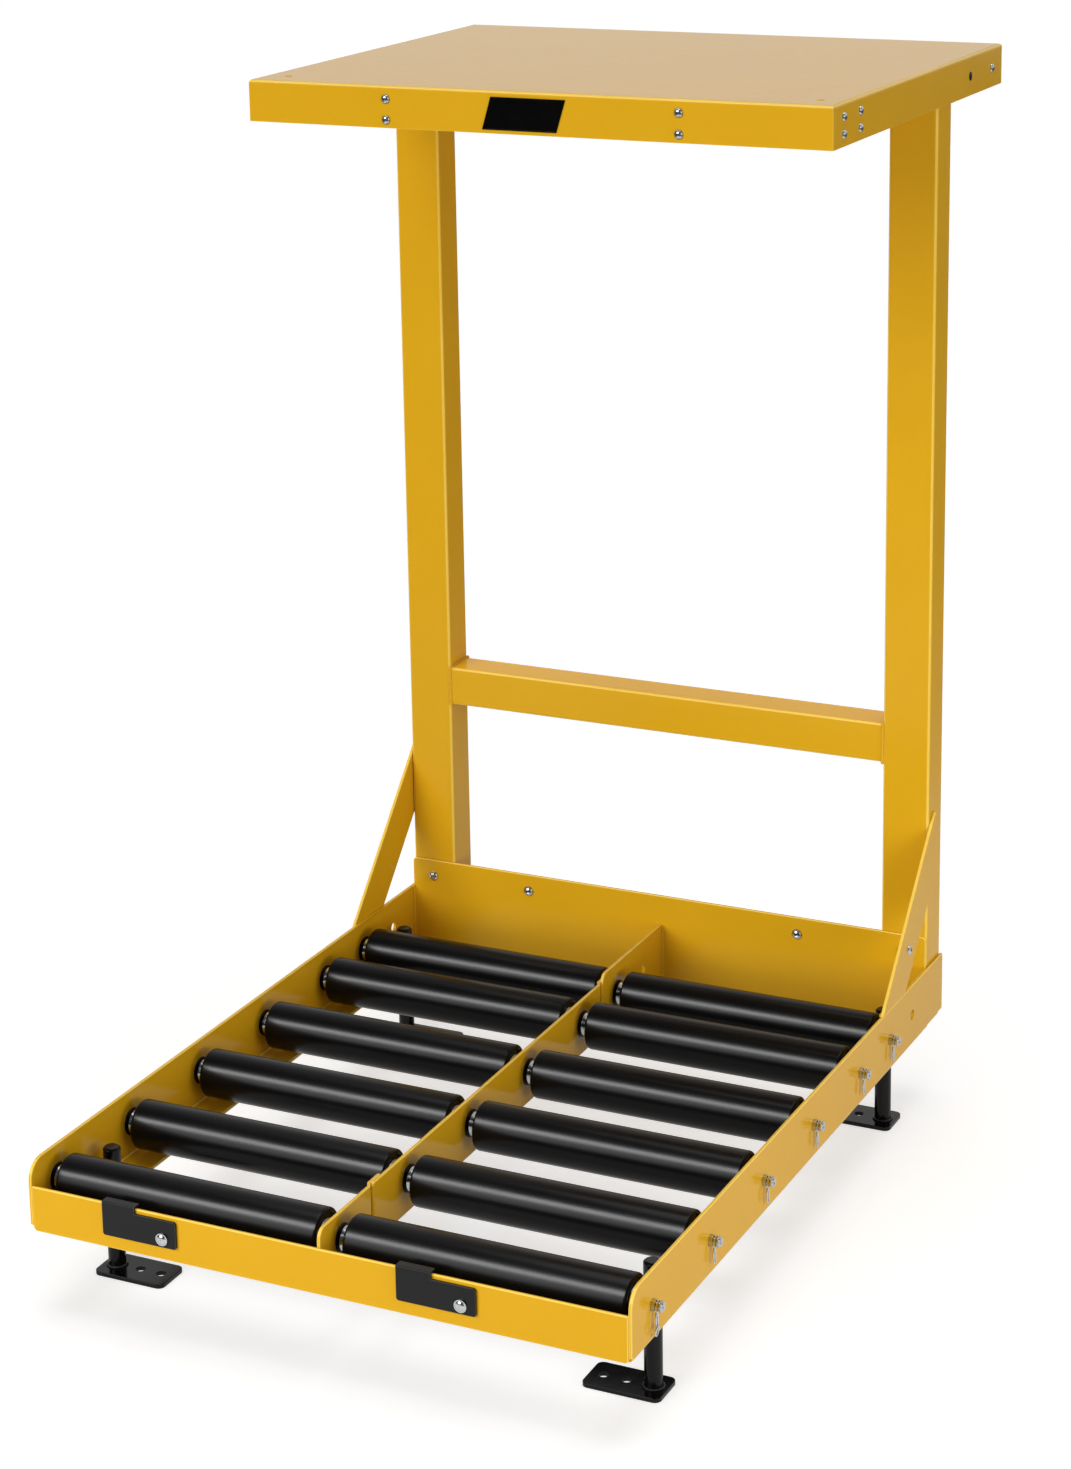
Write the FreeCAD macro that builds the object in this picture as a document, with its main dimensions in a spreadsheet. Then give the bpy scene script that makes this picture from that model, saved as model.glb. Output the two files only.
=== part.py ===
import FreeCAD, Part
import os
import re
import Sketcher

# Battery roller stand: a tray of two roller lanes on four adjustable feet, with a portal and a shelf.
# Millimetres, +Z up, +X to the right, +Y to the back. The origin is on the floor, mid-stand.
# Sketches measure y from the front face of the tray; every sub-part is then placed at front_y.

driving_sizes = {
    # tray
    "frame_width": 914,
    "frame_depth": 1219,
    "ground_clearance": 123,
    "rail_height": 102,
    "rail_sheet": 5,
    "rail_flange": 57,
    "rail_bend": 3,
    "rail_nose": 30,
    "front_height": 67,
    "front_sheet": 5,
    "front_notch": 4,
    "back_height": 152,
    "back_sheet": 5,
    "back_corner": 8,
    # centre divider
    "divider_sheet": 5,
    "divider_rise": 4,
    "divider_height": 88,
    "divider_nose": 16,
    "rear_bracket_height": 100,
    "front_lap_offset": 92,
    "lap_length": 34,
    "lap_clearance": 2,
    "joggle_run": 10,
    "joggle_clearance": 0.5,
    # rollers and axles
    "axle_diameter": 16,
    "axle_height": 53.5,
    "axle_first": 66,
    "axle_rear_margin": 247,
    "axle_last_pitch": 132,
    "axle_spare_pitch": 103,
    "axle_overhang": 16,
    "axle_chamfer": 1.5,
    "axle_hole_clearance": 0.25,
    "roller_diameter": 73,
    "roller_wall": 6,
    "roller_chamfer": 4,
    "roller_end_gap": 18,
    "hub_length": 22,
    "hub_recess": 4,
    "hub_collar": 26,
    "hub_fit": 0.03,
    "running_clearance": 0.05,
    "end_play": 0.5,
    "spacer_diameter": 38,
    "spacer_round": 4,
    "cotter_diameter": 3.2,
    "cotter_clearance": 0.2,
    "cotter_offset": 5.5,
    "cotter_top": 11.5,
    "cotter_ring": 5.5,
    "cotter_ring_drop": 26,
    # posts and cross bars
    "post_width": 76,
    "post_depth": 64,
    "post_wall": 4,
    "post_corner": 6,
    "bar_height": 63.5,
    "bar_wall": 4,
    "bar_corner": 5,
    "bar_level": 552,
    "top_bar_height": 50,
    "gusset_reach": 215,
    "gusset_foot": 102,
    "gusset_angle": 47,
    "gusset_lap": 20,
    # shelf
    "shelf_height": 1638,
    "shelf_depth": 738,
    "shelf_overhang": 228,
    "shelf_lip": 61.5,
    "shelf_sheet": 3,
    "shelf_bend": 2,
    "shelf_seam": 2.4,
    "front_screw_x": 228.5,
    "front_screw_drop": 19.5,
    "front_screw_spacing": 30,
    "side_screw_y": 41,
    "side_screw_pitch": 65,
    "side_screw_drop": 20,
    "side_screw_spacing": 24,
    "rear_hole": 12,
    "rear_hole_y": 152,
    "rear_bolt_y": 50,
    "rear_hole_drop": 32,
    "arm_height": 54,
    "arm_sheet": 4,
    "arm_tab": 40,
    "bracket_leg": 50,
    "bracket_sheet": 4,
    "bracket_margin": 16,
    # fasteners
    "screw_head": 13,
    "screw_head_height": 4.4,
    "screw_diameter": 8,
    "screw_length": 13,
    "screw_clearance": 0.2,
    "bolt_head": 16,
    "bolt_head_height": 5,
    "bolt_diameter": 9.5,
    "bolt_length": 24,
    "bolt_nut": 16,
    "bolt_nut_height": 8,
    "bolt_inner_x": 237,
    "bolt_drop": 28.5,
    # battery stops
    "stop_sheet": 4,
    "stop_gap": 0.5,
    "stop_length": 117,
    "stop_height": 50.5,
    "stop_notch": 10,
    "stop_lip_length": 52,
    "stop_lip_depth": 14,
    "stop_lip_clearance": 0.4,
    "stop_corner": 4,
    "stop_offset": 10,
    "pivot_inset": 21.5,
    "pivot_drop": 38,
    "pivot_diameter": 12,
    "pivot_head": 20,
    "pivot_head_height": 6.5,
    "pivot_play": 0.4,
    "pivot_nut": 19,
    "pivot_nut_height": 8,
    "pivot_tail": 3,
    # feet
    "foot_length": 114,
    "foot_width": 63.5,
    "foot_thickness": 6.4,
    "foot_corner": 10,
    "foot_edge": 1,
    "foot_hole": 14,
    "foot_hole_first": 39,
    "foot_hole_spacing": 34,
    "foot_margin": 21,
    "stem_diameter": 25.4,
    "stem_inset": 38,
    "stem_above": 67,
    "stem_chamfer": 3,
    "stem_clearance": 0.3,
    "front_foot_y": 154,
    "rear_foot_y": 169,
    "collar_diameter": 36,
    "collar_height": 25,
    "set_screw_diameter": 10,
    "set_screw_length": 16,
    "set_screw_head": 14,
    "set_screw_head_height": 6,
}

doc = FreeCAD.newDocument("battery_roller_stand")
sheet = doc.addObject("Spreadsheet::Sheet", "Sizes")
for row, (alias, value) in enumerate(driving_sizes.items(), start=1):
    sheet.set(f"A{row}", alias)
    sheet.set(f"B{row}", str(value))
    sheet.setAlias(f"B{row}", alias)
doc.recompute()

# places worked out from the driving sizes
rail_top = "(ground_clearance + rail_height)"
rail_inner_x = "(frame_width / 2 - rail_sheet)"
bend_outer = "(rail_bend + rail_sheet)"
post_front = "(frame_depth - post_depth)"
back_front = f"({post_front} - back_sheet)"
back_top = "(ground_clearance + back_height)"
front_top = "(ground_clearance + front_height)"
divider_face = "(divider_sheet / 2)"
divider_bottom = "(ground_clearance + divider_rise)"
axle_z = "(ground_clearance + axle_height)"
last_row = "(frame_depth - axle_rear_margin)"
axle_pitch = f"(({last_row} - axle_last_pitch - axle_first) / 4)"
axle_rows = [f"(axle_first + {k} * {axle_pitch})" for k in range(5)] + [last_row]
spare_row = f"({last_row} + axle_spare_pitch)"
front_lap = "(axle_first + front_lap_offset)"
rear_lap = f"({last_row} - spacer_diameter / 2 - lap_clearance - lap_length)"
axle_hole = "(axle_diameter / 2 + axle_hole_clearance)"
lane_centre = f"(({rail_inner_x} + {divider_face}) / 2)"
lane_width = f"({rail_inner_x} - {divider_face})"
roller_half = f"({lane_width} / 2 - roller_end_gap)"
shelf_back = "(frame_depth + shelf_overhang)"
shelf_front = f"({shelf_back} - shelf_depth)"
shelf_half = f"({rail_inner_x} + shelf_sheet)"
shelf_under = "(shelf_height - shelf_sheet)"
lip_bottom = "(shelf_height - shelf_lip)"
rear_level = "(shelf_height - rear_hole_drop)"
shelf_bend_outer = "(shelf_bend + shelf_sheet)"
flange_top = "(ground_clearance + rail_sheet)"
stem_x = "(frame_width / 2 - stem_inset)"
foot_rows = {"front": "front_foot_y", "rear": "(frame_depth - rear_foot_y)"}
stop_front = "(stop_gap + stop_sheet)"
stop_top = f"({front_top} + stop_lip_clearance + stop_sheet)"
pivot_z = f"({stop_top} - pivot_drop)"
pivot_front = f"({stop_front} + pivot_play + pivot_head_height)"
front_y = f"(({pivot_front} - {shelf_back}) / 2)"
screw_hole = "(screw_diameter / 2 + screw_clearance)"
bolt_z = f"({back_top} - bolt_drop)"
bolt_outer_x = f"({rail_inner_x} - post_width / 2)"

sides = {"left": -1, "right": 1}
same_place = 1e-3
nodes = []


# the expression with each size read from the sheet
def bound(expression):
    def from_sheet(word):
        return f"Sizes.{word[0]}" if word[0] in driving_sizes else word[0]

    return re.sub(r"[a-z_]+", from_sheet, expression)


def number(expression):
    return float(sheet.evalExpression(bound(expression)))


# binds an object's place; y is measured from the tray's front face
def place(item, x="0", y="0", z="0", turning=None):
    if turning is not None:
        item.Placement = FreeCAD.Placement(FreeCAD.Vector(), turning)
    for axis, expression in (("x", x), ("y", f"{front_y} + {y}"), ("z", z)):
        item.setExpression(f"Placement.Base.{axis}", bound(expression))


def new_body(label, keep=True):
    body = doc.addObject("PartDesign::Body", label)
    body.Label = label
    if keep:
        nodes.append(body)
    return body


def new_sketch(body, name, plane, offset="0"):
    sketch = body.newObject("Sketcher::SketchObject", f"{body.Label}_{name}")
    support = next(item for item in body.Origin.OriginFeatures if item.Role == plane)
    sketch.AttachmentSupport = (support, "")
    sketch.MapMode = "FlatFace"
    sign = "-1 * " if plane == "XZ_Plane" else ""
    sketch.setExpression("AttachmentOffset.Base.z", bound(f"{sign}({offset})"))
    return sketch


def hold_point(sketch, geometry, point, place_values):
    for kind, expression in zip(("DistanceX", "DistanceY"), place_values):
        rule = Sketcher.Constraint(kind, -1, 1, geometry, point, number(expression))
        index = sketch.addConstraint(rule)
        sketch.setExpression(f"Constraints[{index}]", bound(expression))


def add_circle(sketch, u, v, radius):
    circle = Part.Circle(FreeCAD.Vector(number(u), number(v), 0), FreeCAD.Vector(0, 0, 1), number(radius))
    index = sketch.addGeometry(circle, False)
    hold_point(sketch, index, 3, (u, v))
    size = sketch.addConstraint(Sketcher.Constraint("Radius", index, number(radius)))
    sketch.setExpression(f"Constraints[{size}]", bound(radius))


def add_outline(sketch, points):
    first = sketch.GeometryCount
    corners = [FreeCAD.Vector(number(u), number(v), 0) for u, v in points]
    count = len(corners)
    for k in range(count):
        sketch.addGeometry(Part.LineSegment(corners[k], corners[(k + 1) % count]), False)
    for k in range(count):
        sketch.addConstraint(Sketcher.Constraint("Coincident", first + k, 2, first + (k + 1) % count, 1))
    for k in range(count):
        hold_point(sketch, first + k, 1, points[k])


def box_points(u0, u1, v0, v1):
    return [(u0, v0), (u1, v0), (u1, v1), (u0, v1)]


def hexagon_points(across):
    side = f"{across} / sqrt(3)"
    half = f"{across} / (2 * sqrt(3))"
    flat = f"{across} / 2"
    upper = [(side, "0"), (half, flat), (f"-{half}", flat)]
    lower = [(f"-{side}", "0"), (f"-{half}", f"-{flat}"), (half, f"-{flat}")]
    return upper + lower


# pads closed outlines and circles from start along the plane's positive axis
def extrude(body, name, plane, outlines, start, length, circles=()):
    sketch = new_sketch(body, name, plane, start)
    for points in outlines:
        add_outline(sketch, points)
    for u, v, radius in circles:
        add_circle(sketch, u, v, radius)
    feature = body.newObject("PartDesign::Pad", f"{body.Label}_{name}_pad")
    feature.Profile = sketch
    feature.Reversed = plane == "XZ_Plane"
    feature.setExpression("Length", bound(length))
    doc.recompute()
    return feature


# pockets outlines and circles to both sides of a plane and checks that material went
def cut(body, name, plane, middle, depth, outlines=(), circles=()):
    before = body.Shape.Volume
    sketch = new_sketch(body, name, plane, middle)
    for points in outlines:
        add_outline(sketch, points)
    for u, v, radius in circles:
        add_circle(sketch, u, v, radius)
    feature = body.newObject("PartDesign::Pocket", f"{body.Label}_{name}_cut")
    feature.Profile = sketch
    feature.SideType = "Symmetric"
    feature.setExpression("Length", bound(depth))
    doc.recompute()
    if not body.Shape.Volume < before:
        raise RuntimeError(f"{body.Label}: {name} cut nothing")
    return feature


# revolves closed outlines round one of the body's axes
def turn(body, name, plane, axis, outlines):
    sketch = new_sketch(body, name, plane)
    for points in outlines:
        add_outline(sketch, points)
    feature = body.newObject("PartDesign::Revolution", f"{body.Label}_{name}_turn")
    feature.Profile = sketch
    axis_feature = next(item for item in body.Origin.OriginFeatures if item.Role == axis)
    feature.ReferenceAxis = (axis_feature, [""])
    feature.Angle = 360
    doc.recompute()
    return feature


# names of the straight edges that run along an axis at the given places
def edges(body, along, **fixed):
    found = []
    places = {axis: number(value) for axis, value in fixed.items()}
    for index, edge in enumerate(body.Tip.Shape.Edges, start=1):
        if len(edge.Vertexes) != 2:
            continue
        ends = [vertex.Point for vertex in edge.Vertexes]
        run = ends[1] - ends[0]
        if abs(abs(getattr(run, along)) - edge.Length) > same_place:
            continue
        off = [abs(getattr(end, axis) - value) for end in ends for axis, value in places.items()]
        if max(off) < same_place:
            found.append(f"Edge{index}")
    return found


# names of the full circles of one radius that lie across an axis at one place
def rims(body, axis, at, radius):
    found = []
    for index, edge in enumerate(body.Tip.Shape.Edges, start=1):
        if len(edge.Vertexes) != 1 or abs(edge.Curve.Radius - number(radius)) > same_place:
            continue
        if abs(getattr(edge.Curve.Center, axis) - number(at)) < same_place:
            found.append(f"Edge{index}")
    return found


def round_edges(body, name, radius, names):
    if not names:
        raise RuntimeError(f"{body.Label}: no edges for {name}")
    feature = body.newObject("PartDesign::Fillet", f"{body.Label}_{name}_round")
    feature.Base = (feature.BaseFeature, names)
    feature.setExpression("Radius", bound(radius))
    doc.recompute()
    return feature


def chamfer_edges(body, name, size, names):
    feature = body.newObject("PartDesign::Chamfer", f"{body.Label}_{name}_chamfer")
    feature.Base = (feature.BaseFeature, names)
    feature.setExpression("Size", bound(size))
    doc.recompute()
    return feature


# one node of separate solids: copies of master pieces, each at its own place
def group(label, copies):
    links = []
    for k, (master, x, y, z, turning) in enumerate(copies):
        link = doc.addObject("App::Link", f"{label}_{k}")
        link.LinkedObject = master
        place(link, x, y, z, turning)
        links.append(link)
    compound = doc.addObject("Part::Compound", label)
    compound.Label = label
    compound.Links = links
    nodes.append(compound)
    return compound


def about(x, y, z, degrees):
    return FreeCAD.Rotation(FreeCAD.Vector(x, y, z), degrees)


unturned = FreeCAD.Rotation()
half_turn = about(0, 0, 1, 180)


# side rails: an L section with rounded bends, and a flat web that runs on over the side of the post
def side_rail(side, sign):
    body = new_body(f"{side}_side_rail")
    outer = f"{sign} * frame_width / 2"
    inner = f"{sign} * {rail_inner_x}"
    flange_edge = f"{sign} * (frame_width / 2 - rail_flange)"
    section = [
        (outer, "ground_clearance"),
        (flange_edge, "ground_clearance"),
        (flange_edge, flange_top),
        (inner, flange_top),
        (inner, rail_top),
        (outer, rail_top),
    ]
    extrude(body, "section", "XZ_Plane", [section], "front_sheet", f"{back_front} - front_sheet")
    round_edges(body, "outer_bend", bend_outer, edges(body, "y", x=outer, z="ground_clearance"))
    round_edges(body, "inner_bend", "rail_bend", edges(body, "y", x=inner, z=flange_top))
    web = box_points("0", "frame_depth", f"ground_clearance + {bend_outer}", rail_top)
    start = outer if sign < 0 else inner
    extrude(body, "web", "YZ_Plane", [web], start, "rail_sheet")
    holes = [(row, axle_z, axle_hole) for row in axle_rows + [spare_row]]
    web_middle = f"{sign} * (frame_width / 2 - rail_sheet / 2)"
    cut(body, "axle_holes", "YZ_Plane", web_middle, "4 * rail_sheet", circles=holes)
    stem_hole = "stem_diameter / 2 + 2 * stem_clearance"
    stems = [(f"{sign} * {stem_x}", row, stem_hole) for row in foot_rows.values()]
    flange_middle = "ground_clearance + rail_sheet / 2"
    cut(body, "stem_holes", "XY_Plane", flange_middle, "2 * rail_sheet", circles=stems)
    round_edges(body, "nose", "rail_nose", edges(body, "x", y="0", z=rail_top))
    place(body)


def pivot_x(sign):
    return f"{sign} * {lane_centre} + stop_offset - pivot_inset"


# front plate: a low flat sheet between the rails, its lower corners cut off
def front_plate():
    body = new_body("front_plate")
    face = box_points(f"-{rail_inner_x}", rail_inner_x, "ground_clearance", front_top)
    extrude(body, "face", "XZ_Plane", [face], "0", "front_sheet")
    corners = edges(body, "y", x=rail_inner_x, z="ground_clearance")
    corners += edges(body, "y", x=f"-{rail_inner_x}", z="ground_clearance")
    chamfer_edges(body, "corner_notch", "front_notch", corners)
    hole = "pivot_diameter / 2 + screw_clearance"
    bolts = [(pivot_x(sign), pivot_z, hole) for sign in sides.values()]
    cut(body, "pivot_holes", "XZ_Plane", "front_sheet / 2", "2 * front_sheet", circles=bolts)
    place(body)


# back plate: stands in front of the posts, with rounded top corners
def back_plate():
    body = new_body("back_plate")
    face = box_points(f"-{rail_inner_x}", rail_inner_x, "ground_clearance", back_top)
    extrude(body, "face", "XZ_Plane", [face], back_front, "back_sheet")
    corners = edges(body, "y", x=rail_inner_x, z=back_top)
    corners += edges(body, "y", x=f"-{rail_inner_x}", z=back_top)
    round_edges(body, "corners", "back_corner", corners)
    hole = "bolt_diameter / 2 + screw_clearance"
    places = [f"{sign} * {x}" for sign in sides.values() for x in (bolt_outer_x, "bolt_inner_x")]
    middle = f"{back_front} + back_sheet / 2"
    holes = [(x, bolt_z, hole) for x in places]
    cut(body, "bolt_holes", "XZ_Plane", middle, "2 * back_sheet", circles=holes)
    place(body)


# divider piece: an upright strip whose rear end may be joggled to the left, to lap the next piece
def divider_piece(label, start, end, top, holes, lapped, nose):
    body = new_body(label)
    if lapped:
        offset = "divider_sheet"
        bend_end = f"({end} - joggle_clearance)"
        bend_start = f"({bend_end} - joggle_run)"
        last = f"({end} + lap_length)"
        plan = [
            (f"-{divider_face}", start),
            (divider_face, start),
            (divider_face, bend_start),
            (f"{divider_face} - {offset}", bend_end),
            (f"{divider_face} - {offset}", last),
            (f"-{divider_face} - {offset}", last),
            (f"-{divider_face} - {offset}", bend_end),
            (f"-{divider_face}", bend_start),
        ]
    else:
        plan = box_points(f"-{divider_face}", divider_face, start, end)
    extrude(body, "strip", "XY_Plane", [plan], divider_bottom, f"{top} - {divider_bottom}")
    circles = [(row, axle_z, axle_hole) for row in holes]
    cut(body, "axle_holes", "YZ_Plane", "0", "6 * divider_sheet", circles=circles)
    if nose:
        round_edges(body, "nose", "divider_nose", edges(body, "x", y=start, z=top))
    if lapped:
        round_edges(body, "tail", "divider_nose / 2", edges(body, "x", y=last, z=top))
    place(body)


def divider():
    low_top = f"({divider_bottom} + divider_height)"
    high_top = f"({divider_bottom} + rear_bracket_height)"
    divider_piece("divider_front_bracket", "front_sheet", front_lap, low_top, axle_rows[:1], True, True)
    divider_piece("divider_rail", front_lap, rear_lap, low_top, axle_rows[1:5], True, False)
    rear_holes = [axle_rows[5], spare_row]
    divider_piece("divider_rear_bracket", rear_lap, back_front, high_top, rear_holes, False, True)


# rectangular tube with rounded corners, along X or Z; its section is given as low and high pairs
def tube(body, plane, wide, high, wall, corner, start, length):
    along = {"XY_Plane": "z", "YZ_Plane": "x"}[plane]
    across = {"XY_Plane": ("x", "y"), "YZ_Plane": ("y", "z")}[plane]
    extrude(body, "tube", plane, [box_points(*wide, *high)], start, length)
    corners = []
    for u in wide:
        for v in high:
            corners += edges(body, along, **{across[0]: u, across[1]: v})
    round_edges(body, "corners", corner, corners)
    inner_wide = (f"{wide[0]} + {wall}", f"{wide[1]} - {wall}")
    inner_high = (f"{high[0]} + {wall}", f"{high[1]} - {wall}")
    bore = box_points(*inner_wide, *inner_high)
    cut(body, "bore", plane, f"{start} + ({length}) / 2", f"2 * ({length})", outlines=[bore])


def post(side, sign):
    body = new_body(f"{side}_post")
    near = f"{sign} * ({rail_inner_x} - post_width)"
    far = f"{sign} * {rail_inner_x}"
    wide = (far, near) if sign < 0 else (near, far)
    deep = (post_front, "frame_depth")
    length = f"{shelf_under} - ground_clearance"
    tube(body, "XY_Plane", wide, deep, "post_wall", "post_corner", "ground_clearance", length)
    bolt = [(f"{sign} * {bolt_outer_x}", bolt_z, "bolt_diameter / 2 + screw_clearance")]
    cut(body, "bolt_hole", "XZ_Plane", post_front, "3 * post_wall", circles=bolt)
    place(body)


def cross_bar(label, level, height):
    body = new_body(label)
    half = f"({rail_inner_x} - post_width)"
    deep = (post_front, "frame_depth")
    high = (level, f"({level} + {height})")
    tube(body, "YZ_Plane", deep, high, "bar_wall", "bar_corner", f"-{half}", f"2 * {half}")
    place(body)


# gusset: a slanting flat bar that stands on the rail's top edge and laps the outer face of the post
def gusset(side, sign):
    body = new_body(f"{side}_gusset")
    toe = f"({post_front} - gusset_reach)"
    heel = f"({toe} + gusset_foot)"
    end = f"({post_front} + gusset_lap)"
    slope = "tan(gusset_angle * 1 deg)"
    outline = [
        (toe, rail_top),
        (heel, rail_top),
        (end, f"{rail_top} + ({end} - {heel}) * {slope}"),
        (end, f"{rail_top} + ({end} - {toe}) * {slope}"),
    ]
    start = f"{sign} * frame_width / 2" if sign < 0 else rail_inner_x
    extrude(body, "bar", "YZ_Plane", [outline], start, "rail_sheet")
    place(body)


# shelf: a folded sheet, kept as its flat deck and the rim of flanges that hangs from the fold
def shelf_block(label):
    body = new_body(label)
    outside = box_points(f"-{shelf_half}", shelf_half, shelf_front, shelf_back)
    extrude(body, "block", "XY_Plane", [outside], lip_bottom, "shelf_lip")
    folds = edges(body, "x", z="shelf_height") + edges(body, "y", z="shelf_height")
    round_edges(body, "folds", shelf_bend_outer, folds)
    return body


# an outline that stands one sheet proud of the shelf all round
def round_the_shelf():
    half = f"({shelf_half} + shelf_sheet)"
    return box_points(f"-{half}", half, f"{shelf_front} - shelf_sheet", f"{shelf_back} + shelf_sheet")


def shelf_deck():
    body = shelf_block("shelf_deck")
    depth = f"2 * ({shelf_under} - {lip_bottom})"
    cut(body, "under", "XY_Plane", lip_bottom, depth, outlines=[round_the_shelf()])
    place(body)


# shelf rim: four flanges, parted by the open corner seams, with screw holes
def shelf_rim():
    body = shelf_block("shelf_rim")
    body.AllowCompound = True
    cut(body, "deck", "XY_Plane", "shelf_height", "2 * shelf_sheet", outlines=[round_the_shelf()])
    inner_half = f"({shelf_half} - shelf_sheet)"
    inner_front = f"{shelf_front} + shelf_sheet"
    inner_back = f"{shelf_back} - shelf_sheet"
    inside = box_points(f"-{inner_half}", inner_half, inner_front, inner_back)
    cut(body, "hollow", "XY_Plane", lip_bottom, "2 * shelf_lip", outlines=[inside])
    seams = []
    for sign in sides.values():
        edge = f"{sign} * {shelf_half}"
        for start in (inner_front, f"{inner_back} - shelf_seam"):
            end = f"{start} + shelf_seam"
            seams.append(box_points(f"{edge} - 2 * shelf_sheet", f"{edge} + 2 * shelf_sheet", start, end))
    cut(body, "seams", "XY_Plane", lip_bottom, "2 * shelf_lip", outlines=seams)
    front_holes = [(x, z, screw_hole) for x, z in front_screws()]
    front_middle = f"{shelf_front} + shelf_sheet / 2"
    cut(body, "front_holes", "XZ_Plane", front_middle, "2 * shelf_sheet", circles=front_holes)
    side_holes = [(y, z, screw_hole) for y, z in side_screws() + [rear_bolt()]]
    side_holes.append((f"({shelf_back} - rear_hole_y)", rear_level, "rear_hole / 2"))
    for side, sign in sides.items():
        middle = f"{sign} * ({shelf_half} - shelf_sheet / 2)"
        cut(body, f"{side}_holes", "YZ_Plane", middle, "2 * shelf_sheet", circles=side_holes)
    place(body)


def front_screws():
    upper = "(shelf_height - front_screw_drop)"
    rows = (upper, f"({upper} - front_screw_spacing)")
    return [(f"{sign} * front_screw_x", z) for sign in sides.values() for z in rows]


def side_screws():
    upper = "(shelf_height - side_screw_drop)"
    first = f"({shelf_front} + side_screw_y)"
    columns = (first, f"({first} + side_screw_pitch)")
    rows = (upper, f"({upper} - side_screw_spacing)")
    return [(y, z) for y in columns for z in rows]


def rear_bolt():
    return (f"({shelf_back} - rear_bolt_y)", rear_level)


# shelf arms: two strips on edge from the top cross bar to the front flange, each with a screwed end tab
def shelf_arms():
    masters = []
    for side, sign in sides.items():
        body = new_body(f"{side}_arm_piece", keep=False)
        tab_start = f"{shelf_front} + shelf_sheet"
        tab_edge = f"{sign} * (front_screw_x - arm_tab / 2)"
        web_outer = f"{sign} * (front_screw_x + arm_tab / 2)"
        web_inner = f"{sign} * (front_screw_x + arm_tab / 2 - arm_sheet)"
        plan = [
            (tab_edge, tab_start),
            (web_outer, tab_start),
            (web_outer, post_front),
            (web_inner, post_front),
            (web_inner, f"{tab_start} + arm_sheet"),
            (tab_edge, f"{tab_start} + arm_sheet"),
        ]
        extrude(body, "strip", "XY_Plane", [plan], f"{shelf_under} - arm_height", "arm_height")
        holes = [(x, z, screw_hole) for x, z in front_screws() if x.startswith(f"{sign} ")]
        cut(body, "holes", "XZ_Plane", f"{tab_start} + arm_sheet / 2", "2 * arm_sheet", circles=holes)
        masters.append(body)
    group("shelf_arms", [(body, "0", "0", "0", unturned) for body in masters])


# shelf corner brackets: angles behind the screws of the side flanges
def shelf_corner_brackets():
    masters = []
    for side, sign in sides.items():
        body = new_body(f"{side}_bracket_piece", keep=False)
        wall = f"({sign} * {rail_inner_x})"
        section = [
            (wall, shelf_under),
            (wall, f"{shelf_under} - bracket_leg"),
            (f"{wall} - {sign} * bracket_sheet", f"{shelf_under} - bracket_leg"),
            (f"{wall} - {sign} * bracket_sheet", f"{shelf_under} - bracket_sheet"),
            (f"{wall} - {sign} * bracket_leg", f"{shelf_under} - bracket_sheet"),
            (f"{wall} - {sign} * bracket_leg", shelf_under),
        ]
        start = f"{shelf_front} + side_screw_y - bracket_margin"
        extrude(body, "angle", "XZ_Plane", [section], start, "side_screw_pitch + 2 * bracket_margin")
        holes = [(y, z, screw_hole) for y, z in side_screws()]
        middle = f"{wall} - {sign} * bracket_sheet / 2"
        cut(body, "holes", "YZ_Plane", middle, "2 * bracket_sheet", circles=holes)
        masters.append(body)
    group("shelf_corner_brackets", [(body, "0", "0", "0", unturned) for body in masters])


# button head fastener along +Y: the head's bearing face is at y = 0 and the head stands in front of it
def button_fastener(label, head, head_height, diameter, length):
    body = new_body(label, keep=False)
    profile = [
        ("0", f"-{head_height}"),
        (f"{head} / 2", f"-{head_height}"),
        (f"{head} / 2", "0"),
        (f"{diameter} / 2", "0"),
        (f"{diameter} / 2", length),
        ("0", length),
    ]
    turn(body, "profile", "XY_Plane", "Y_Axis", [profile])
    round_edges(body, "crown", f"0.7 * {head_height}", rims(body, "y", f"-{head_height}", f"{head} / 2"))
    return body


# hexagon nut along +Y, from y = 0
def hexagon_nut(label, across, height, bore):
    body = new_body(label, keep=False)
    extrude(body, "hexagon", "XZ_Plane", [hexagon_points(across)], "0", height)
    cut(body, "bore", "XZ_Plane", f"{height} / 2", f"2 * {height}", circles=[("0", "0", f"{bore} / 2")])
    return body


def shelf_screws():
    head = ("screw_head", "screw_head_height")
    screw = button_fastener("shelf_screw_piece", *head, "screw_diameter", "screw_length")
    copies = [(screw, x, shelf_front, z, unturned) for x, z in front_screws()]
    side_places = side_screws() + [rear_bolt()]
    copies += [(screw, shelf_half, y, z, about(0, 0, 1, 90)) for y, z in side_places]
    copies += [(screw, f"-{shelf_half}", y, z, about(0, 0, 1, -90)) for y, z in side_places]
    group("shelf_screws", copies)


def back_plate_bolts():
    head = ("bolt_head", "bolt_head_height")
    bolt = button_fastener("back_bolt_piece", *head, "bolt_diameter", "bolt_length")
    nut = hexagon_nut("back_nut_piece", "bolt_nut", "bolt_nut_height", "bolt_diameter")
    copies = []
    for sign in sides.values():
        for x in (bolt_outer_x, "bolt_inner_x"):
            copies.append((bolt, f"{sign} * {x}", back_front, bolt_z, unturned))
        copies.append((nut, f"{sign} * bolt_inner_x", post_front, bolt_z, unturned))
    group("back_plate_bolts", copies)


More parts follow.
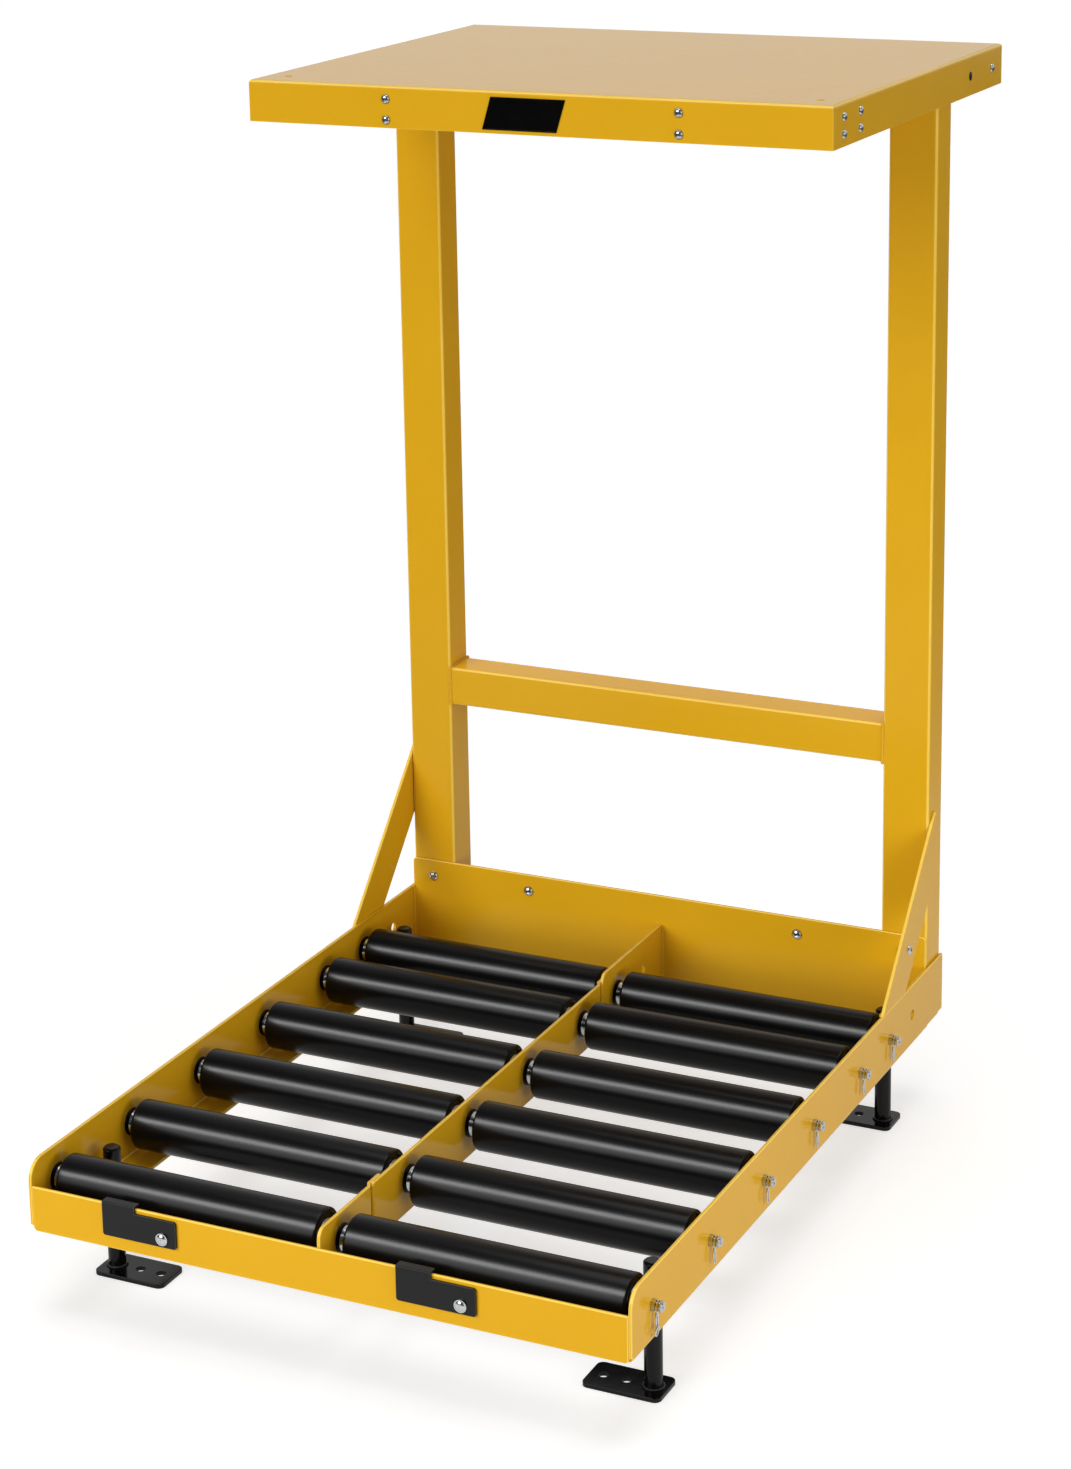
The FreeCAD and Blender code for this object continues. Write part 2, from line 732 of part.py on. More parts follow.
# axle: a straight bar through both rails and the divider, cross drilled at its ends
def axle(number_on_bed, row):
    body = new_body(f"axle_{number_on_bed}")
    half = "(frame_width / 2 + axle_overhang)"
    radius = "axle_diameter / 2"
    profile = [
        (f"-{half}", "0"),
        (f"-{half}", f"{radius} - axle_chamfer"),
        (f"-{half} + axle_chamfer", radius),
        (f"{half} - axle_chamfer", radius),
        (half, f"{radius} - axle_chamfer"),
        (half, "0"),
    ]
    turn(body, "profile", "XY_Plane", "X_Axis", [profile])
    pin_x = "(frame_width / 2 + cotter_offset)"
    bore = "cotter_diameter / 2 + cotter_clearance"
    pins = [(f"{sign} * {pin_x}", "0", bore) for sign in sides.values()]
    cut(body, "pin_holes", "XY_Plane", "0", "2 * axle_diameter", circles=pins)
    place(body, "0", row, axle_z)


# cotter pin: an upright pin through the axle with a ring below it
def cotter_pins():
    pin = doc.addObject("Part::Cylinder", "cotter_shank")
    ring = doc.addObject("Part::Torus", "cotter_eye")
    shank_bottom = "(cotter_ring - cotter_ring_drop)"
    pin.setExpression("Radius", bound("cotter_diameter / 2"))
    pin.setExpression("Height", bound(f"cotter_top - {shank_bottom}"))
    pin.setExpression("Placement.Base.z", bound(shank_bottom))
    ring.setExpression("Radius1", bound("cotter_ring"))
    ring.setExpression("Radius2", bound("cotter_diameter / 2"))
    ring.Placement.Rotation = about(0, 1, 0, 90)
    ring.setExpression("Placement.Base.z", bound("-cotter_ring_drop"))
    master = doc.addObject("Part::Fuse", "cotter_pin_piece")
    master.Base = pin
    master.Tool = ring
    doc.recompute()
    pin_columns = [f"{sign} * (frame_width / 2 + cotter_offset)" for sign in sides.values()]
    places = [(x, row) for row in axle_rows for x in pin_columns]
    group("cotter_pins", [(master, x, row, axle_z, unturned) for x, row in places])


# spacer: a collar on the axle between a roller's end and the sheet beside it, from x = 0 along +X
def axle_spacers():
    master = new_body("spacer_piece", keep=False)
    length = "roller_end_gap - end_play"
    bore = "axle_diameter / 2 + running_clearance"
    outer = "spacer_diameter / 2"
    section = [("0", bore), ("0", outer), (length, outer), (length, bore)]
    turn(master, "profile", "XY_Plane", "X_Axis", [section])
    both_rims = rims(master, "x", "0", outer) + rims(master, "x", length, outer)
    round_edges(master, "rims", "spacer_round", both_rims)
    from_left = (f"-{rail_inner_x}", divider_face)
    from_right = (f"-{divider_face}", rail_inner_x)
    seats = [(x, unturned) for x in from_left] + [(x, half_turn) for x in from_right]
    group("axle_spacers", [(master, x, row, axle_z, turning) for row in axle_rows for x, turning in seats])


# roller: a thick tube with chamfered ends
def roller(side, sign, number_on_bed, row):
    body = new_body(f"roller_{side}_{number_on_bed}")
    outer = "roller_diameter / 2"
    bore = f"{outer} - roller_wall"
    profile = [
        (f"-{roller_half}", bore),
        (f"-{roller_half}", f"{outer} - roller_chamfer"),
        (f"-{roller_half} + roller_chamfer", outer),
        (f"{roller_half} - roller_chamfer", outer),
        (roller_half, f"{outer} - roller_chamfer"),
        (roller_half, bore),
    ]
    turn(body, "profile", "XY_Plane", "X_Axis", [profile])
    place(body, f"{sign} * {lane_centre}", row, axle_z)


# roller hubs: the two bearing hubs, set a little into the tube's ends, each with a collar towards the spacer
def roller_hubs(side, sign, number_on_bed, row):
    body = new_body(f"roller_{side}_{number_on_bed}_hubs")
    outer = "roller_diameter / 2 - roller_wall - hub_fit"
    bore = "axle_diameter / 2 + running_clearance"
    profiles = []
    for end in (-1, 1):
        face = f"{end} * {roller_half}"
        cap = f"{end} * ({roller_half} - hub_recess)"
        back = f"{end} * ({roller_half} - hub_recess - hub_length)"
        collar_side = [(face, bore), (face, "hub_collar / 2"), (cap, "hub_collar / 2")]
        profiles.append(collar_side + [(cap, outer), (back, outer), (back, bore)])
    turn(body, "profile", "XY_Plane", "X_Axis", profiles)
    place(body, f"{sign} * {lane_centre}", row, axle_z)


# foot: a floor plate with two anchor holes, and a round stem that slides in the collar on the rail's flange
def foot(end, side, sign):
    body = new_body(f"{end}_{side}_foot")
    row = foot_rows[end]
    outer = f"{sign} * ({stem_x} + foot_margin)"
    inner = f"{sign} * ({stem_x} + foot_margin - foot_length)"
    low, high = (outer, inner) if sign < 0 else (inner, outer)
    front, back = f"{row} - foot_width / 2", f"{row} + foot_width / 2"
    extrude(body, "plate", "XY_Plane", [box_points(low, high, front, back)], "0", "foot_thickness")
    corners = []
    for x in (low, high):
        for y in (front, back):
            corners += edges(body, "z", x=x, y=y)
    round_edges(body, "corners", "foot_corner", corners)
    top_edges = edges(body, "x", z="foot_thickness") + edges(body, "y", z="foot_thickness")
    round_edges(body, "rim", "foot_edge", top_edges[:1])
    hole_places = ["foot_hole_first", "(foot_hole_first + foot_hole_spacing)"]
    holes = [(f"{sign} * ({stem_x} - {inward})", row, "foot_hole / 2") for inward in hole_places]
    cut(body, "anchor_holes", "XY_Plane", "foot_thickness / 2", "2 * foot_thickness", circles=holes)
    stem_top = "(ground_clearance + stem_above)"
    stem = [(f"{sign} * {stem_x}", row, "stem_diameter / 2")]
    extrude(body, "stem", "XY_Plane", [], "foot_thickness", f"{stem_top} - foot_thickness", circles=stem)
    chamfer_edges(body, "stem_top", "stem_chamfer", rims(body, "z", stem_top, "stem_diameter / 2"))
    place(body)


# foot collars and set screws: each collar stands on a flange round its stem, its screw points to the rail
def foot_collars():
    collar = new_body("collar_piece", keep=False)
    bore = "(stem_diameter / 2 + stem_clearance)"
    outer = "collar_diameter / 2"
    section = [(bore, "0"), (outer, "0"), (outer, "collar_height"), (bore, "collar_height")]
    turn(collar, "profile", "XZ_Plane", "Z_Axis", [section])
    thread = [("0", "collar_height / 2", "set_screw_diameter / 2")]
    cut(collar, "thread", "YZ_Plane", f"-{outer}", "collar_diameter", circles=thread)
    screw = new_body("set_screw_piece", keep=False)
    tip = f"(-1 * {bore})"
    shank_end = f"({tip} - set_screw_length)"
    radius = "set_screw_diameter / 2"
    shank = [(tip, "0"), (tip, radius), (shank_end, radius), (shank_end, "0")]
    turn(screw, "shank", "XY_Plane", "X_Axis", [shank])
    head_start = f"{shank_end} - set_screw_head_height"
    head = hexagon_points("set_screw_head")
    extrude(screw, "head", "YZ_Plane", [head], head_start, "set_screw_head_height")
    collars, screws = [], []
    for sign in sides.values():
        turning = unturned if sign > 0 else half_turn
        for row in foot_rows.values():
            collars.append((collar, f"{sign} * {stem_x}", row, flange_top, turning))
            screws.append((screw, f"{sign} * {stem_x}", row, f"{flange_top} + collar_height / 2", turning))
    group("foot_collars", collars)
    group("foot_set_screws", screws)


# battery stop: a plate on the front, with a lip folded over the tray's edge, that turns up about its bolt
def battery_stop(side, sign):
    body = new_body(f"battery_stop_{side}")
    right = f"({sign} * {lane_centre} + stop_offset)"
    left = f"({right} - stop_length)"
    lip_right = f"({left} + stop_lip_length)"
    bottom = f"({stop_top} - stop_height)"
    shoulder = f"({stop_top} - stop_notch)"
    face = [
        (left, bottom),
        (right, bottom),
        (right, shoulder),
        (lip_right, shoulder),
        (lip_right, stop_top),
        (left, stop_top),
    ]
    extrude(body, "face", "XZ_Plane", [face], f"-{stop_front}", "stop_sheet")
    lower_corners = edges(body, "y", x=left, z=bottom) + edges(body, "y", x=right, z=bottom)
    round_edges(body, "corners", "stop_corner", lower_corners + edges(body, "y", x=right, z=shoulder))
    lip = box_points(left, lip_right, f"-{stop_front}", f"stop_lip_depth - {stop_front}")
    extrude(body, "lip", "XY_Plane", [lip], f"{stop_top} - stop_sheet", "stop_sheet")
    round_edges(body, "fold", "stop_sheet / 2", edges(body, "x", y=f"-{stop_front}", z=stop_top))
    pivot = [(f"{right} - pivot_inset", pivot_z, "pivot_diameter / 2 + running_clearance")]
    cut(body, "pivot_hole", "XZ_Plane", f"-{stop_front} + stop_sheet / 2", "2 * stop_sheet", circles=pivot)
    place(body)


def stop_pivot_bolts():
    head_face = f"({stop_front} + pivot_play)"
    length = f"{head_face} + front_sheet + pivot_nut_height + pivot_tail"
    head = ("pivot_head", "pivot_head_height")
    bolt = button_fastener("pivot_bolt_piece", *head, "pivot_diameter", length)
    nut = hexagon_nut("pivot_nut_piece", "pivot_nut", "pivot_nut_height", "pivot_diameter")
    copies = []
    for sign in sides.values():
        copies.append((bolt, pivot_x(sign), f"-1 * {head_face}", pivot_z, unturned))
        copies.append((nut, pivot_x(sign), "front_sheet", pivot_z, unturned))
    group("stop_pivot_bolts", copies)


for side, sign in sides.items():
    side_rail(side, sign)
    post(side, sign)
    gusset(side, sign)
    battery_stop(side, sign)
    for end in foot_rows:
        foot(end, side, sign)
    for bed_number, row in enumerate(axle_rows, start=1):
        roller(side, sign, bed_number, row)
        roller_hubs(side, sign, bed_number, row)
for bed_number, row in enumerate(axle_rows, start=1):
    axle(bed_number, row)
front_plate()
back_plate()
divider()
cross_bar("cross_bar", "bar_level", "bar_height")
cross_bar("top_cross_bar", f"({shelf_under} - top_bar_height)", "top_bar_height")
shelf_deck()
shelf_rim()
shelf_arms()
shelf_corner_brackets()
shelf_screws()
back_plate_bolts()
cotter_pins()
axle_spacers()
foot_collars()
stop_pivot_bolts()

doc.recompute()
for item in doc.Objects:
    if "Invalid" in item.State or "Error" in item.State:
        raise RuntimeError(f"{item.Label} failed: {item.State}")
for node in nodes:
    if node.Shape.isNull() or not node.Shape.isValid():
        raise RuntimeError(f"{node.Label} has no valid shape")
os.makedirs("parts", exist_ok=True)
for node in nodes:
    node.Shape.exportStep(f"parts/{node.Label}.step")
print(f"{len(nodes)} nodes, front face at y = {number(front_y):.2f}")
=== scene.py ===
import bmesh
import bpy
import math
from mathutils import Matrix, Vector


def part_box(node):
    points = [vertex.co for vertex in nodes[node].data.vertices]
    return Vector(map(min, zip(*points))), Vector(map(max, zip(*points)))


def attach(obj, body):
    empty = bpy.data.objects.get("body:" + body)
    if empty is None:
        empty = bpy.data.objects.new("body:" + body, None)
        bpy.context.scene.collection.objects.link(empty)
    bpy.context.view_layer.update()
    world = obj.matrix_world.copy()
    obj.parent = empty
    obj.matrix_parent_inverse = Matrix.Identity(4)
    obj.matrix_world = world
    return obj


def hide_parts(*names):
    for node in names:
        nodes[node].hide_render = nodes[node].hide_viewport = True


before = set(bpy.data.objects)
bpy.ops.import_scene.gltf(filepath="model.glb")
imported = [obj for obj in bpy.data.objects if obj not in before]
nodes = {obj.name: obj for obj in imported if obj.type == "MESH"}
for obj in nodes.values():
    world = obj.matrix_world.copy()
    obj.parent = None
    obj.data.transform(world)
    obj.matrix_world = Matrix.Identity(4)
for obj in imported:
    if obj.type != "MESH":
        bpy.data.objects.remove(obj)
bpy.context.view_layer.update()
mm = 0.001
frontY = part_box("front_plate")[0].y  # the tray's front face
sides = {"left": -1, "right": 1}

# places that several pieces share, in millimetres, with y from the tray's front face
axleZ, axleRows = 176.5, [66, 259.5, 453, 646.5, 840, 972]
spareRow = 1075  # bored, with no axle
footX, footRows = 419, {"front": 154, "rear": 1050}
pivotX, pivotZ = (-238.75, 215.75), 156.4
backBoltX, backBoltZ = (-414, -237, 237, 414), 246.5
shelfFrontY, shelfSideX = 709, 455
print("loaded", len(nodes), "nodes")


def at(x, y, z):  # millimetres, y from the tray's front face
    return Vector((x * mm, y * mm + frontY, z * mm))


def quarter(steps):
    return [math.pi / 2 * k / steps for k in range(steps + 1)]


def fullTurn(steps):  # its last angle is its first again
    return [2 * math.pi * (k % steps) / steps for k in range(steps + 1)]


def linear(code):  # sRGB hex to linear
    parts = [int(code[k:k + 2], 16) / 255 for k in (1, 3, 5)]
    return [p / 12.92 if p <= 0.04045 else ((p + 0.055) / 1.055) ** 2.4 for p in parts] + [1]


def addNode(tree, kind, settings=None, **links):  # a socket value is linked, anything else is set
    node = tree.nodes.new(kind)
    for name, value in (settings or {}).items():
        setattr(node, name, value)
    for name, value in links.items():
        key = int(name[1:]) if name[0] == "i" and name[1:].isdigit() else name.replace("_", " ")
        if isinstance(value, bpy.types.NodeSocket):
            tree.links.new(value, node.inputs[key])
        else:
            node.inputs[key].default_value = value
    return node


def combined(tree, operation, first, second):
    return addNode(tree, "ShaderNodeMath", {"operation": operation}, i0=first, i1=second).outputs[0]


def ranged(tree, value, start=(0.0, 1.0), end=(0.0, 1.0), curve="LINEAR"):
    limits = {"From_Min": start[0], "From_Max": start[1], "To_Min": end[0], "To_Max": end[1]}
    node = addNode(tree, "ShaderNodeMapRange", {"interpolation_type": curve}, Value=value, **limits)
    return node.outputs["Result"]


def noise(tree, place, scale, detail, roughness=0.5):
    looks = {"Scale": scale, "Detail": detail, "Roughness": roughness}
    return addNode(tree, "ShaderNodeTexNoise", Vector=place, **looks).outputs["Fac"]


def stretched(tree, place, sizes):  # so that noise changes once in each size, in millimetres
    scale = [1 / (size * mm) for size in sizes]
    return addNode(tree, "ShaderNodeMapping", Vector=place, Scale=scale).outputs["Vector"]


def coloured(tree, shader, value, deep, pale, stops=(0.0, 1.0)):
    ramp = addNode(tree, "ShaderNodeValToRGB", Fac=value)
    for element, stop, code in zip(ramp.color_ramp.elements, stops, (deep, pale)):
        element.position, element.color = stop, linear(code)
    tree.links.new(ramp.outputs["Color"], shader.inputs["Base Color"])


def glossed(tree, shader, value, rough, start=(0.0, 1.0)):
    tree.links.new(ranged(tree, value, start, rough), shader.inputs["Roughness"])


def bumped(tree, shader, height, strength, depth):  # depth in millimetres
    bump = addNode(tree, "ShaderNodeBump", Height=height, Strength=strength, Distance=depth * mm)
    tree.links.new(bump.outputs["Normal"], shader.inputs["Normal"])


def newMaterial(name):
    material = bpy.data.materials.new(name)
    material.use_nodes = True
    tree = material.node_tree
    shader = next(n for n in tree.nodes if n.type == "BSDF_PRINCIPLED")
    place = addNode(tree, "ShaderNodeTexCoord").outputs["Object"]
    return material, tree, shader, place


coatLooks = {"drift": 0.16, "driftStops": (0.3, 0.72), "scuff": 0.022, "scuffStops": (0.3, 0.7), "bump": 0.5}


# Powder coat: a baked polymer skin, glossy with faint orange peel and slow changes of depth
def powderCoat(name, deep, pale, rough, peel, peelDepth, level=0.14):
    s = coatLooks
    material, tree, shader, place = newMaterial(name)
    drift = noise(tree, place, 1 / s["drift"], detail=3.0, roughness=0.55)
    coloured(tree, shader, drift, deep, pale, s["driftStops"])
    scuff = noise(tree, place, 1 / s["scuff"], detail=5.0, roughness=0.65)
    glossed(tree, shader, scuff, rough, s["scuffStops"])
    skin = noise(tree, place, 1 / (peel * mm), detail=1.5)
    bumped(tree, shader, skin, s["bump"], peelDepth)
    shader.inputs["IOR"].default_value = 1.5
    shader.inputs["Specular IOR Level"].default_value = level
    return material


steelLooks = {"cloud": 0.004, "bump": 0.4, "lineDepth": 0.03}


# Plated or drawn steel: a bright metal, clouded by the bath, with fine lines across one axis
def brightSteel(name, deep, pale, rough, lines):
    s = steelLooks
    material, tree, shader, place = newMaterial(name)
    coloured(tree, shader, noise(tree, place, 1 / s["cloud"], detail=4.0), deep, pale)
    drawn = noise(tree, stretched(tree, place, lines), 1.0, detail=3.0)
    glossed(tree, shader, drawn, rough)
    bumped(tree, shader, drawn, s["bump"], s["lineDepth"])
    shader.inputs["Metallic"].default_value = 1.0
    return material


turnedLooks = {
    "rings": (1.6, 60, 60), "ringDepth": 0.02, "smear": 0.09, "smearStops": (0.35, 0.75), "bump": 0.35,
}


# Turned black coat: satin, with fine rings round the roller and dull scuffs where loads have rolled
def turnedCoat(name, deep, pale, rough):
    s = turnedLooks
    material, tree, shader, place = newMaterial(name)
    lines = noise(tree, stretched(tree, place, s["rings"]), 1.0, detail=3.0)
    smear = noise(tree, place, 1 / s["smear"], detail=3.0)
    coloured(tree, shader, smear, deep, pale, s["smearStops"])
    glossed(tree, shader, smear, rough)
    bumped(tree, shader, lines, s["bump"], s["ringDepth"])
    shader.inputs["Specular IOR Level"].default_value = 0.15
    return material


yellowCoat = powderCoat("yellowPowderCoatOnSteel", "#daa519", "#dda81c", (0.11, 0.16), 3.2, 0.03)
# a lighter, glossier yellow for bevels, folds and rounded corners: a painted edge highlight
edgeHighlightCoat = powderCoat("yellowPowderCoatPaintedEdgeHighlight", "#f1c84e", "#f6d05e", (0.14, 0.2), 2.0, 0.02, 0.3)
weldCoat = powderCoat("yellowPowderCoatOnWeld", "#d29c12", "#e0ad22", (0.18, 0.3), 1.1, 0.1)
stopCoat = powderCoat("blackSatinPowderCoat", "#0c0c0d", "#111112", (0.3, 0.4), 1.4, 0.03, 0.3)
# a lighter black for the stops' bevels: a painted edge highlight
stopEdgeHighlight = powderCoat("blackPowderCoatPaintedEdgeHighlight", "#2a2a2c", "#343436", (0.28, 0.36), 1.4, 0.02, 0.4)
footPaint = powderCoat("blackGlossPaintOnSteel", "#060607", "#0b0b0c", (0.12, 0.22), 2.6, 0.05, 0.25)
beadPaint = powderCoat("blackGlossPaintOnWeld", "#060607", "#0d0d0e", (0.06, 0.14), 0.9, 0.08, 0.5)
plateCoat = powderCoat("blackEnamelledPlate", "#030304", "#060606", (0.3, 0.4), 1.8, 0.02, 0.06)
discCoat = powderCoat("blackMouldedNylon", "#050505", "#090909", (0.35, 0.45), 1.2, 0.02)
rollerCoat = turnedCoat("blackCoatOnTurnedTube", "#060607", "#090909", (0.24, 0.29))
zincPlate = brightSteel("brightZincPlateOnSteel", "#c6cacd", "#dadddf", (0.14, 0.26), (3, 3, 3))
axleSteel = brightSteel("coldDrawnSteel", "#b4b6b8", "#d2d4d5", (0.1, 0.22), (40, 0.8, 0.8))
spacerSteel = brightSteel("turnedZincSteel", "#b6b9bb", "#d4d7d9", (0.14, 0.24), (0.7, 30, 30))
print("materials", len(bpy.data.materials))


def finishPiece(name, mesh, material, body, stands=()):
    obj = bpy.data.objects.new(name, mesh)
    bpy.context.scene.collection.objects.link(obj)
    if material:  # a mesh with a painted edge highlight has its own two coats
        mesh.materials.clear()
        mesh.materials.append(material)
    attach(obj, body)
    if stands:
        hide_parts(*stands)
    return obj


def scratchObject(mesh):
    obj = bpy.data.objects.new("scratch", mesh)
    bpy.context.scene.collection.objects.link(obj)
    return obj


def bakedMesh(obj, name):  # the evaluated mesh on its own, and the scratch object gone
    bpy.context.view_layer.update()
    seen = obj.evaluated_get(bpy.context.evaluated_depsgraph_get())
    mesh = bpy.data.meshes.new_from_object(seen)
    mesh.name = name
    bpy.data.objects.remove(obj)
    return mesh


def meshFrom(shape, name, mesh=None):
    mesh = mesh or bpy.data.meshes.new(name)
    shape.to_mesh(mesh)
    shape.free()
    return mesh


def smoothShade(mesh, degrees=35):
    mesh.shade_smooth()
    mesh.set_sharp_from_angle(angle=math.radians(degrees))


boreSizes = {"axle": 8.25, "pivot": 6.2, "bolt": 4.95, "rod": 30, "slack": 0.05, "upright": 0.1, "count": 40}
railMiddleX, frontMiddleY, backMiddleY = 454.5, 2.5, 1152.5  # halfway through each bored sheet


def axleBores(x, rows):
    return [("x", (x, row, axleZ), boreSizes["axle"]) for row in rows]


bores = {  # axis, centre and radius of each
    "left_side_rail": axleBores(-railMiddleX, axleRows + [spareRow]),
    "right_side_rail": axleBores(railMiddleX, axleRows + [spareRow]),
    "divider_front_bracket": axleBores(0, axleRows[:1]),
    "divider_rail": axleBores(0, axleRows[1:5]),
    "divider_rear_bracket": axleBores(0, [axleRows[5], spareRow]),
    "front_plate": [("y", (x, frontMiddleY, pivotZ), boreSizes["pivot"]) for x in pivotX],
    "back_plate": [("y", (x, backMiddleY, backBoltZ), boreSizes["bolt"]) for x in backBoltX],
}
mergeSizes = {"gap": 0.00001, "foldGap": 0.00002, "flat": math.radians(0.4)}  # gaps in metres


def fromAxis(point, axis, spot):
    gap = point - at(*spot)
    return math.hypot(gap.y if axis == "x" else gap.x, gap.z)


def wholeFaces(shape):
    bmesh.ops.dissolve_limit(shape, angle_limit=mergeSizes["flat"], verts=shape.verts, edges=shape.edges)


def mergedCopy(name):  # a CAD node's mesh with its flat faces whole and its bores closed
    shape = bmesh.new()
    shape.from_mesh(nodes[name].data)
    bmesh.ops.remove_doubles(shape, verts=shape.verts, dist=mergeSizes["gap"])
    for axis, spot, radius in bores.get(name, []):
        part, slack = "xyz".index(axis), boreSizes["slack"] * mm
        rim = [abs(fromAxis(v.co, axis, spot) - radius * mm) < slack for v in shape.verts]
        upright = [f for f in shape.faces if abs(f.normal[part]) < boreSizes["upright"]]
        wall = [f for f in upright if all(rim[v.index] for v in f.verts)]
        bmesh.ops.delete(shape, geom=wall, context="FACES")
        shape.verts.index_update()
        bmesh.ops.holes_fill(shape, edges=[e for e in shape.edges if e.is_boundary], sides=0)
    wholeFaces(shape)
    return meshFrom(shape, name + "_copy")


def boreCutter(name):  # one rod per bore
    s = boreSizes
    shape = bmesh.new()
    for axis, spot, radius in bores[name]:
        lie = Matrix.Rotation(math.pi / 2, 4, "Y" if axis == "x" else "X")
        place = Matrix.Translation(at(*spot)) @ lie
        size = {"radius1": radius * mm, "radius2": radius * mm, "depth": s["rod"] * mm}
        bmesh.ops.create_cone(shape, cap_ends=True, segments=s["count"], matrix=place, **size)
    return scratchObject(meshFrom(shape, name + "_bores"))


edgeSizes = {"segments": 3, "sharp": 40, "smooth": 45, "square": 0.93}  # angles in degrees


def roundedEdges(mesh, edge, name, cutter=None):  # as a coat of powder rounds a cut sheet, then the bores
    s = edgeSizes
    obj = scratchObject(mesh)
    bevel = obj.modifiers.new("edge", "BEVEL")
    bevel.width, bevel.segments = edge * mm, s["segments"]
    bevel.limit_method, bevel.angle_limit = "ANGLE", math.radians(s["sharp"])
    bevel.use_clamp_overlap = False
    # bevel faces take the second coat where there is one: a painted edge highlight
    if len(mesh.materials) > 1:
        bevel.material = 1
    if cutter:
        bore = obj.modifiers.new("bore", "BOOLEAN")
        bore.operation, bore.solver, bore.object = "DIFFERENCE", "EXACT", cutter
    cutMesh = bakedMesh(obj, name)
    smoothShade(cutMesh, s["smooth"])
    obj = scratchObject(cutMesh)
    even = obj.modifiers.new("even", "WEIGHTED_NORMAL")
    even.keep_sharp = True
    return bakedMesh(obj, name)


def layCoats(mesh, coats, folds):  # the second coat is a painted highlight for edges, and for folds that catch the light
    mesh.materials.clear()
    for coat in coats:
        mesh.materials.append(coat)
    for face in mesh.polygons:
        slanted = max(abs(part) for part in face.normal) < edgeSizes["square"]
        face.material_index = 1 if folds and slanted else 0


def coatedNode(name, edge, coats, body, folds=False):
    mesh = mergedCopy(name)
    layCoats(mesh, coats, folds)
    cutter = boreCutter(name) if name in bores else None
    done = roundedEdges(mesh, edge, name + "_coated", cutter)
    if cutter:
        bpy.data.objects.remove(cutter)
    return finishPiece(name + "_coated", done, None, body, [name])


sheetEdges = {
    "left_side_rail": 1.7, "right_side_rail": 1.7, "front_plate": 1.7, "back_plate": 1.7,
    "divider_front_bracket": 1.7, "divider_rail": 1.7, "divider_rear_bracket": 1.7,
    "left_gusset": 1.5, "right_gusset": 1.5, "left_post": 0.6, "right_post": 0.6,
    "cross_bar": 0.6, "top_cross_bar": 0.6, "shelf_arms": 0.6,
    "shelf_corner_brackets": 0.6, "foot_collars": 0.8,
}
stopEdgeSize, footEdgeSize, shelfEdgeSize = 0.7, 0.6, 0.5
yellowPieces = {}
for name, edge in sheetEdges.items():
    folds = name != "foot_collars"
    yellowPieces[name] = coatedNode(name, edge, (yellowCoat, edgeHighlightCoat), "frame", folds)
for side in sides:
    stop = "battery_stop_" + side
    coatedNode(stop, stopEdgeSize, (stopCoat, stopEdgeHighlight), stop)
    for end in footRows:
        foot = end + "_" + side + "_foot"
        coatedNode(foot, footEdgeSize, (footPaint,), foot)
print("sheet pieces coated")


# the shelf: its deck and rim are one folded sheet, so they are joined before the edges are rounded
def foldedShelf():
    obj, other = scratchObject(mergedCopy("shelf_deck")), scratchObject(mergedCopy("shelf_rim"))
    join = obj.modifiers.new("fold", "BOOLEAN")
    join.operation, join.solver, join.object = "UNION", "EXACT", other
    mesh = bakedMesh(obj, "shelf_joined")
    bpy.data.objects.remove(other)
    shape = bmesh.new()
    shape.from_mesh(mesh)
    bmesh.ops.remove_doubles(shape, verts=shape.verts, dist=mergeSizes["foldGap"])
    wholeFaces(shape)
    meshFrom(shape, "shelf_joined", mesh)
    layCoats(mesh, (yellowCoat, edgeHighlightCoat), True)
    done = roundedEdges(mesh, shelfEdgeSize, "shelf_folded")
    finishPiece("shelf_folded", done, None, "frame", ["shelf_deck", "shelf_rim"])


foldedShelf()
print("shelf folded")


# a turned shape about an axle: a closed loop of (along, radius) points, along X
def turned(loop, centre, count, mesh=None):
    shape = bmesh.new()
    if mesh:
        shape.from_mesh(mesh)
    rings = []
    for angle in fullTurn(count)[:-1]:
        ring = []
        for along, radius in loop:
            spot = Vector((along * mm, radius * mm * math.cos(angle), radius * mm * math.sin(angle)))
            ring.append(shape.verts.new(spot + centre))
        rings.append(ring)
    for k in range(count):
        near, far = rings[k], rings[(k + 1) % count]
        for j in range(len(loop)):
            i = (j + 1) % len(loop)
            shape.faces.new((near[j], near[i], far[i], far[j]))
    bmesh.ops.recalc_face_normals(shape, faces=shape.faces)
    return meshFrom(shape, "turned", mesh)


def mirrored(loop, sign):
    return [(sign * along, radius) for along, radius in loop]


def roundCorner(along, radius, curve, ways, arc):  # the ways lead from the corner into the section
    points = [(curve * (1 - math.sin(t)), curve * (1 - math.cos(t))) for t in arc]
    return [(along + ways[0] * u, radius + ways[1] * v) for u, v in points]


rollerSizes = {
    "x": 227.25, "half": 206.75, "radius": 36.5, "round": 4.5, "steps": 6, "wall": 6, "recess": 4,
    "bore": 8.1, "collar": 13, "collarEdge": 1.0, "collarNip": 0.3, "fillet": 0.6,
    "seat": (18, 18.5, 22, 22.5), "seatDeep": 0.7, "lip": 0.5, "tubeEdge": 0.7, "count": 88,
}


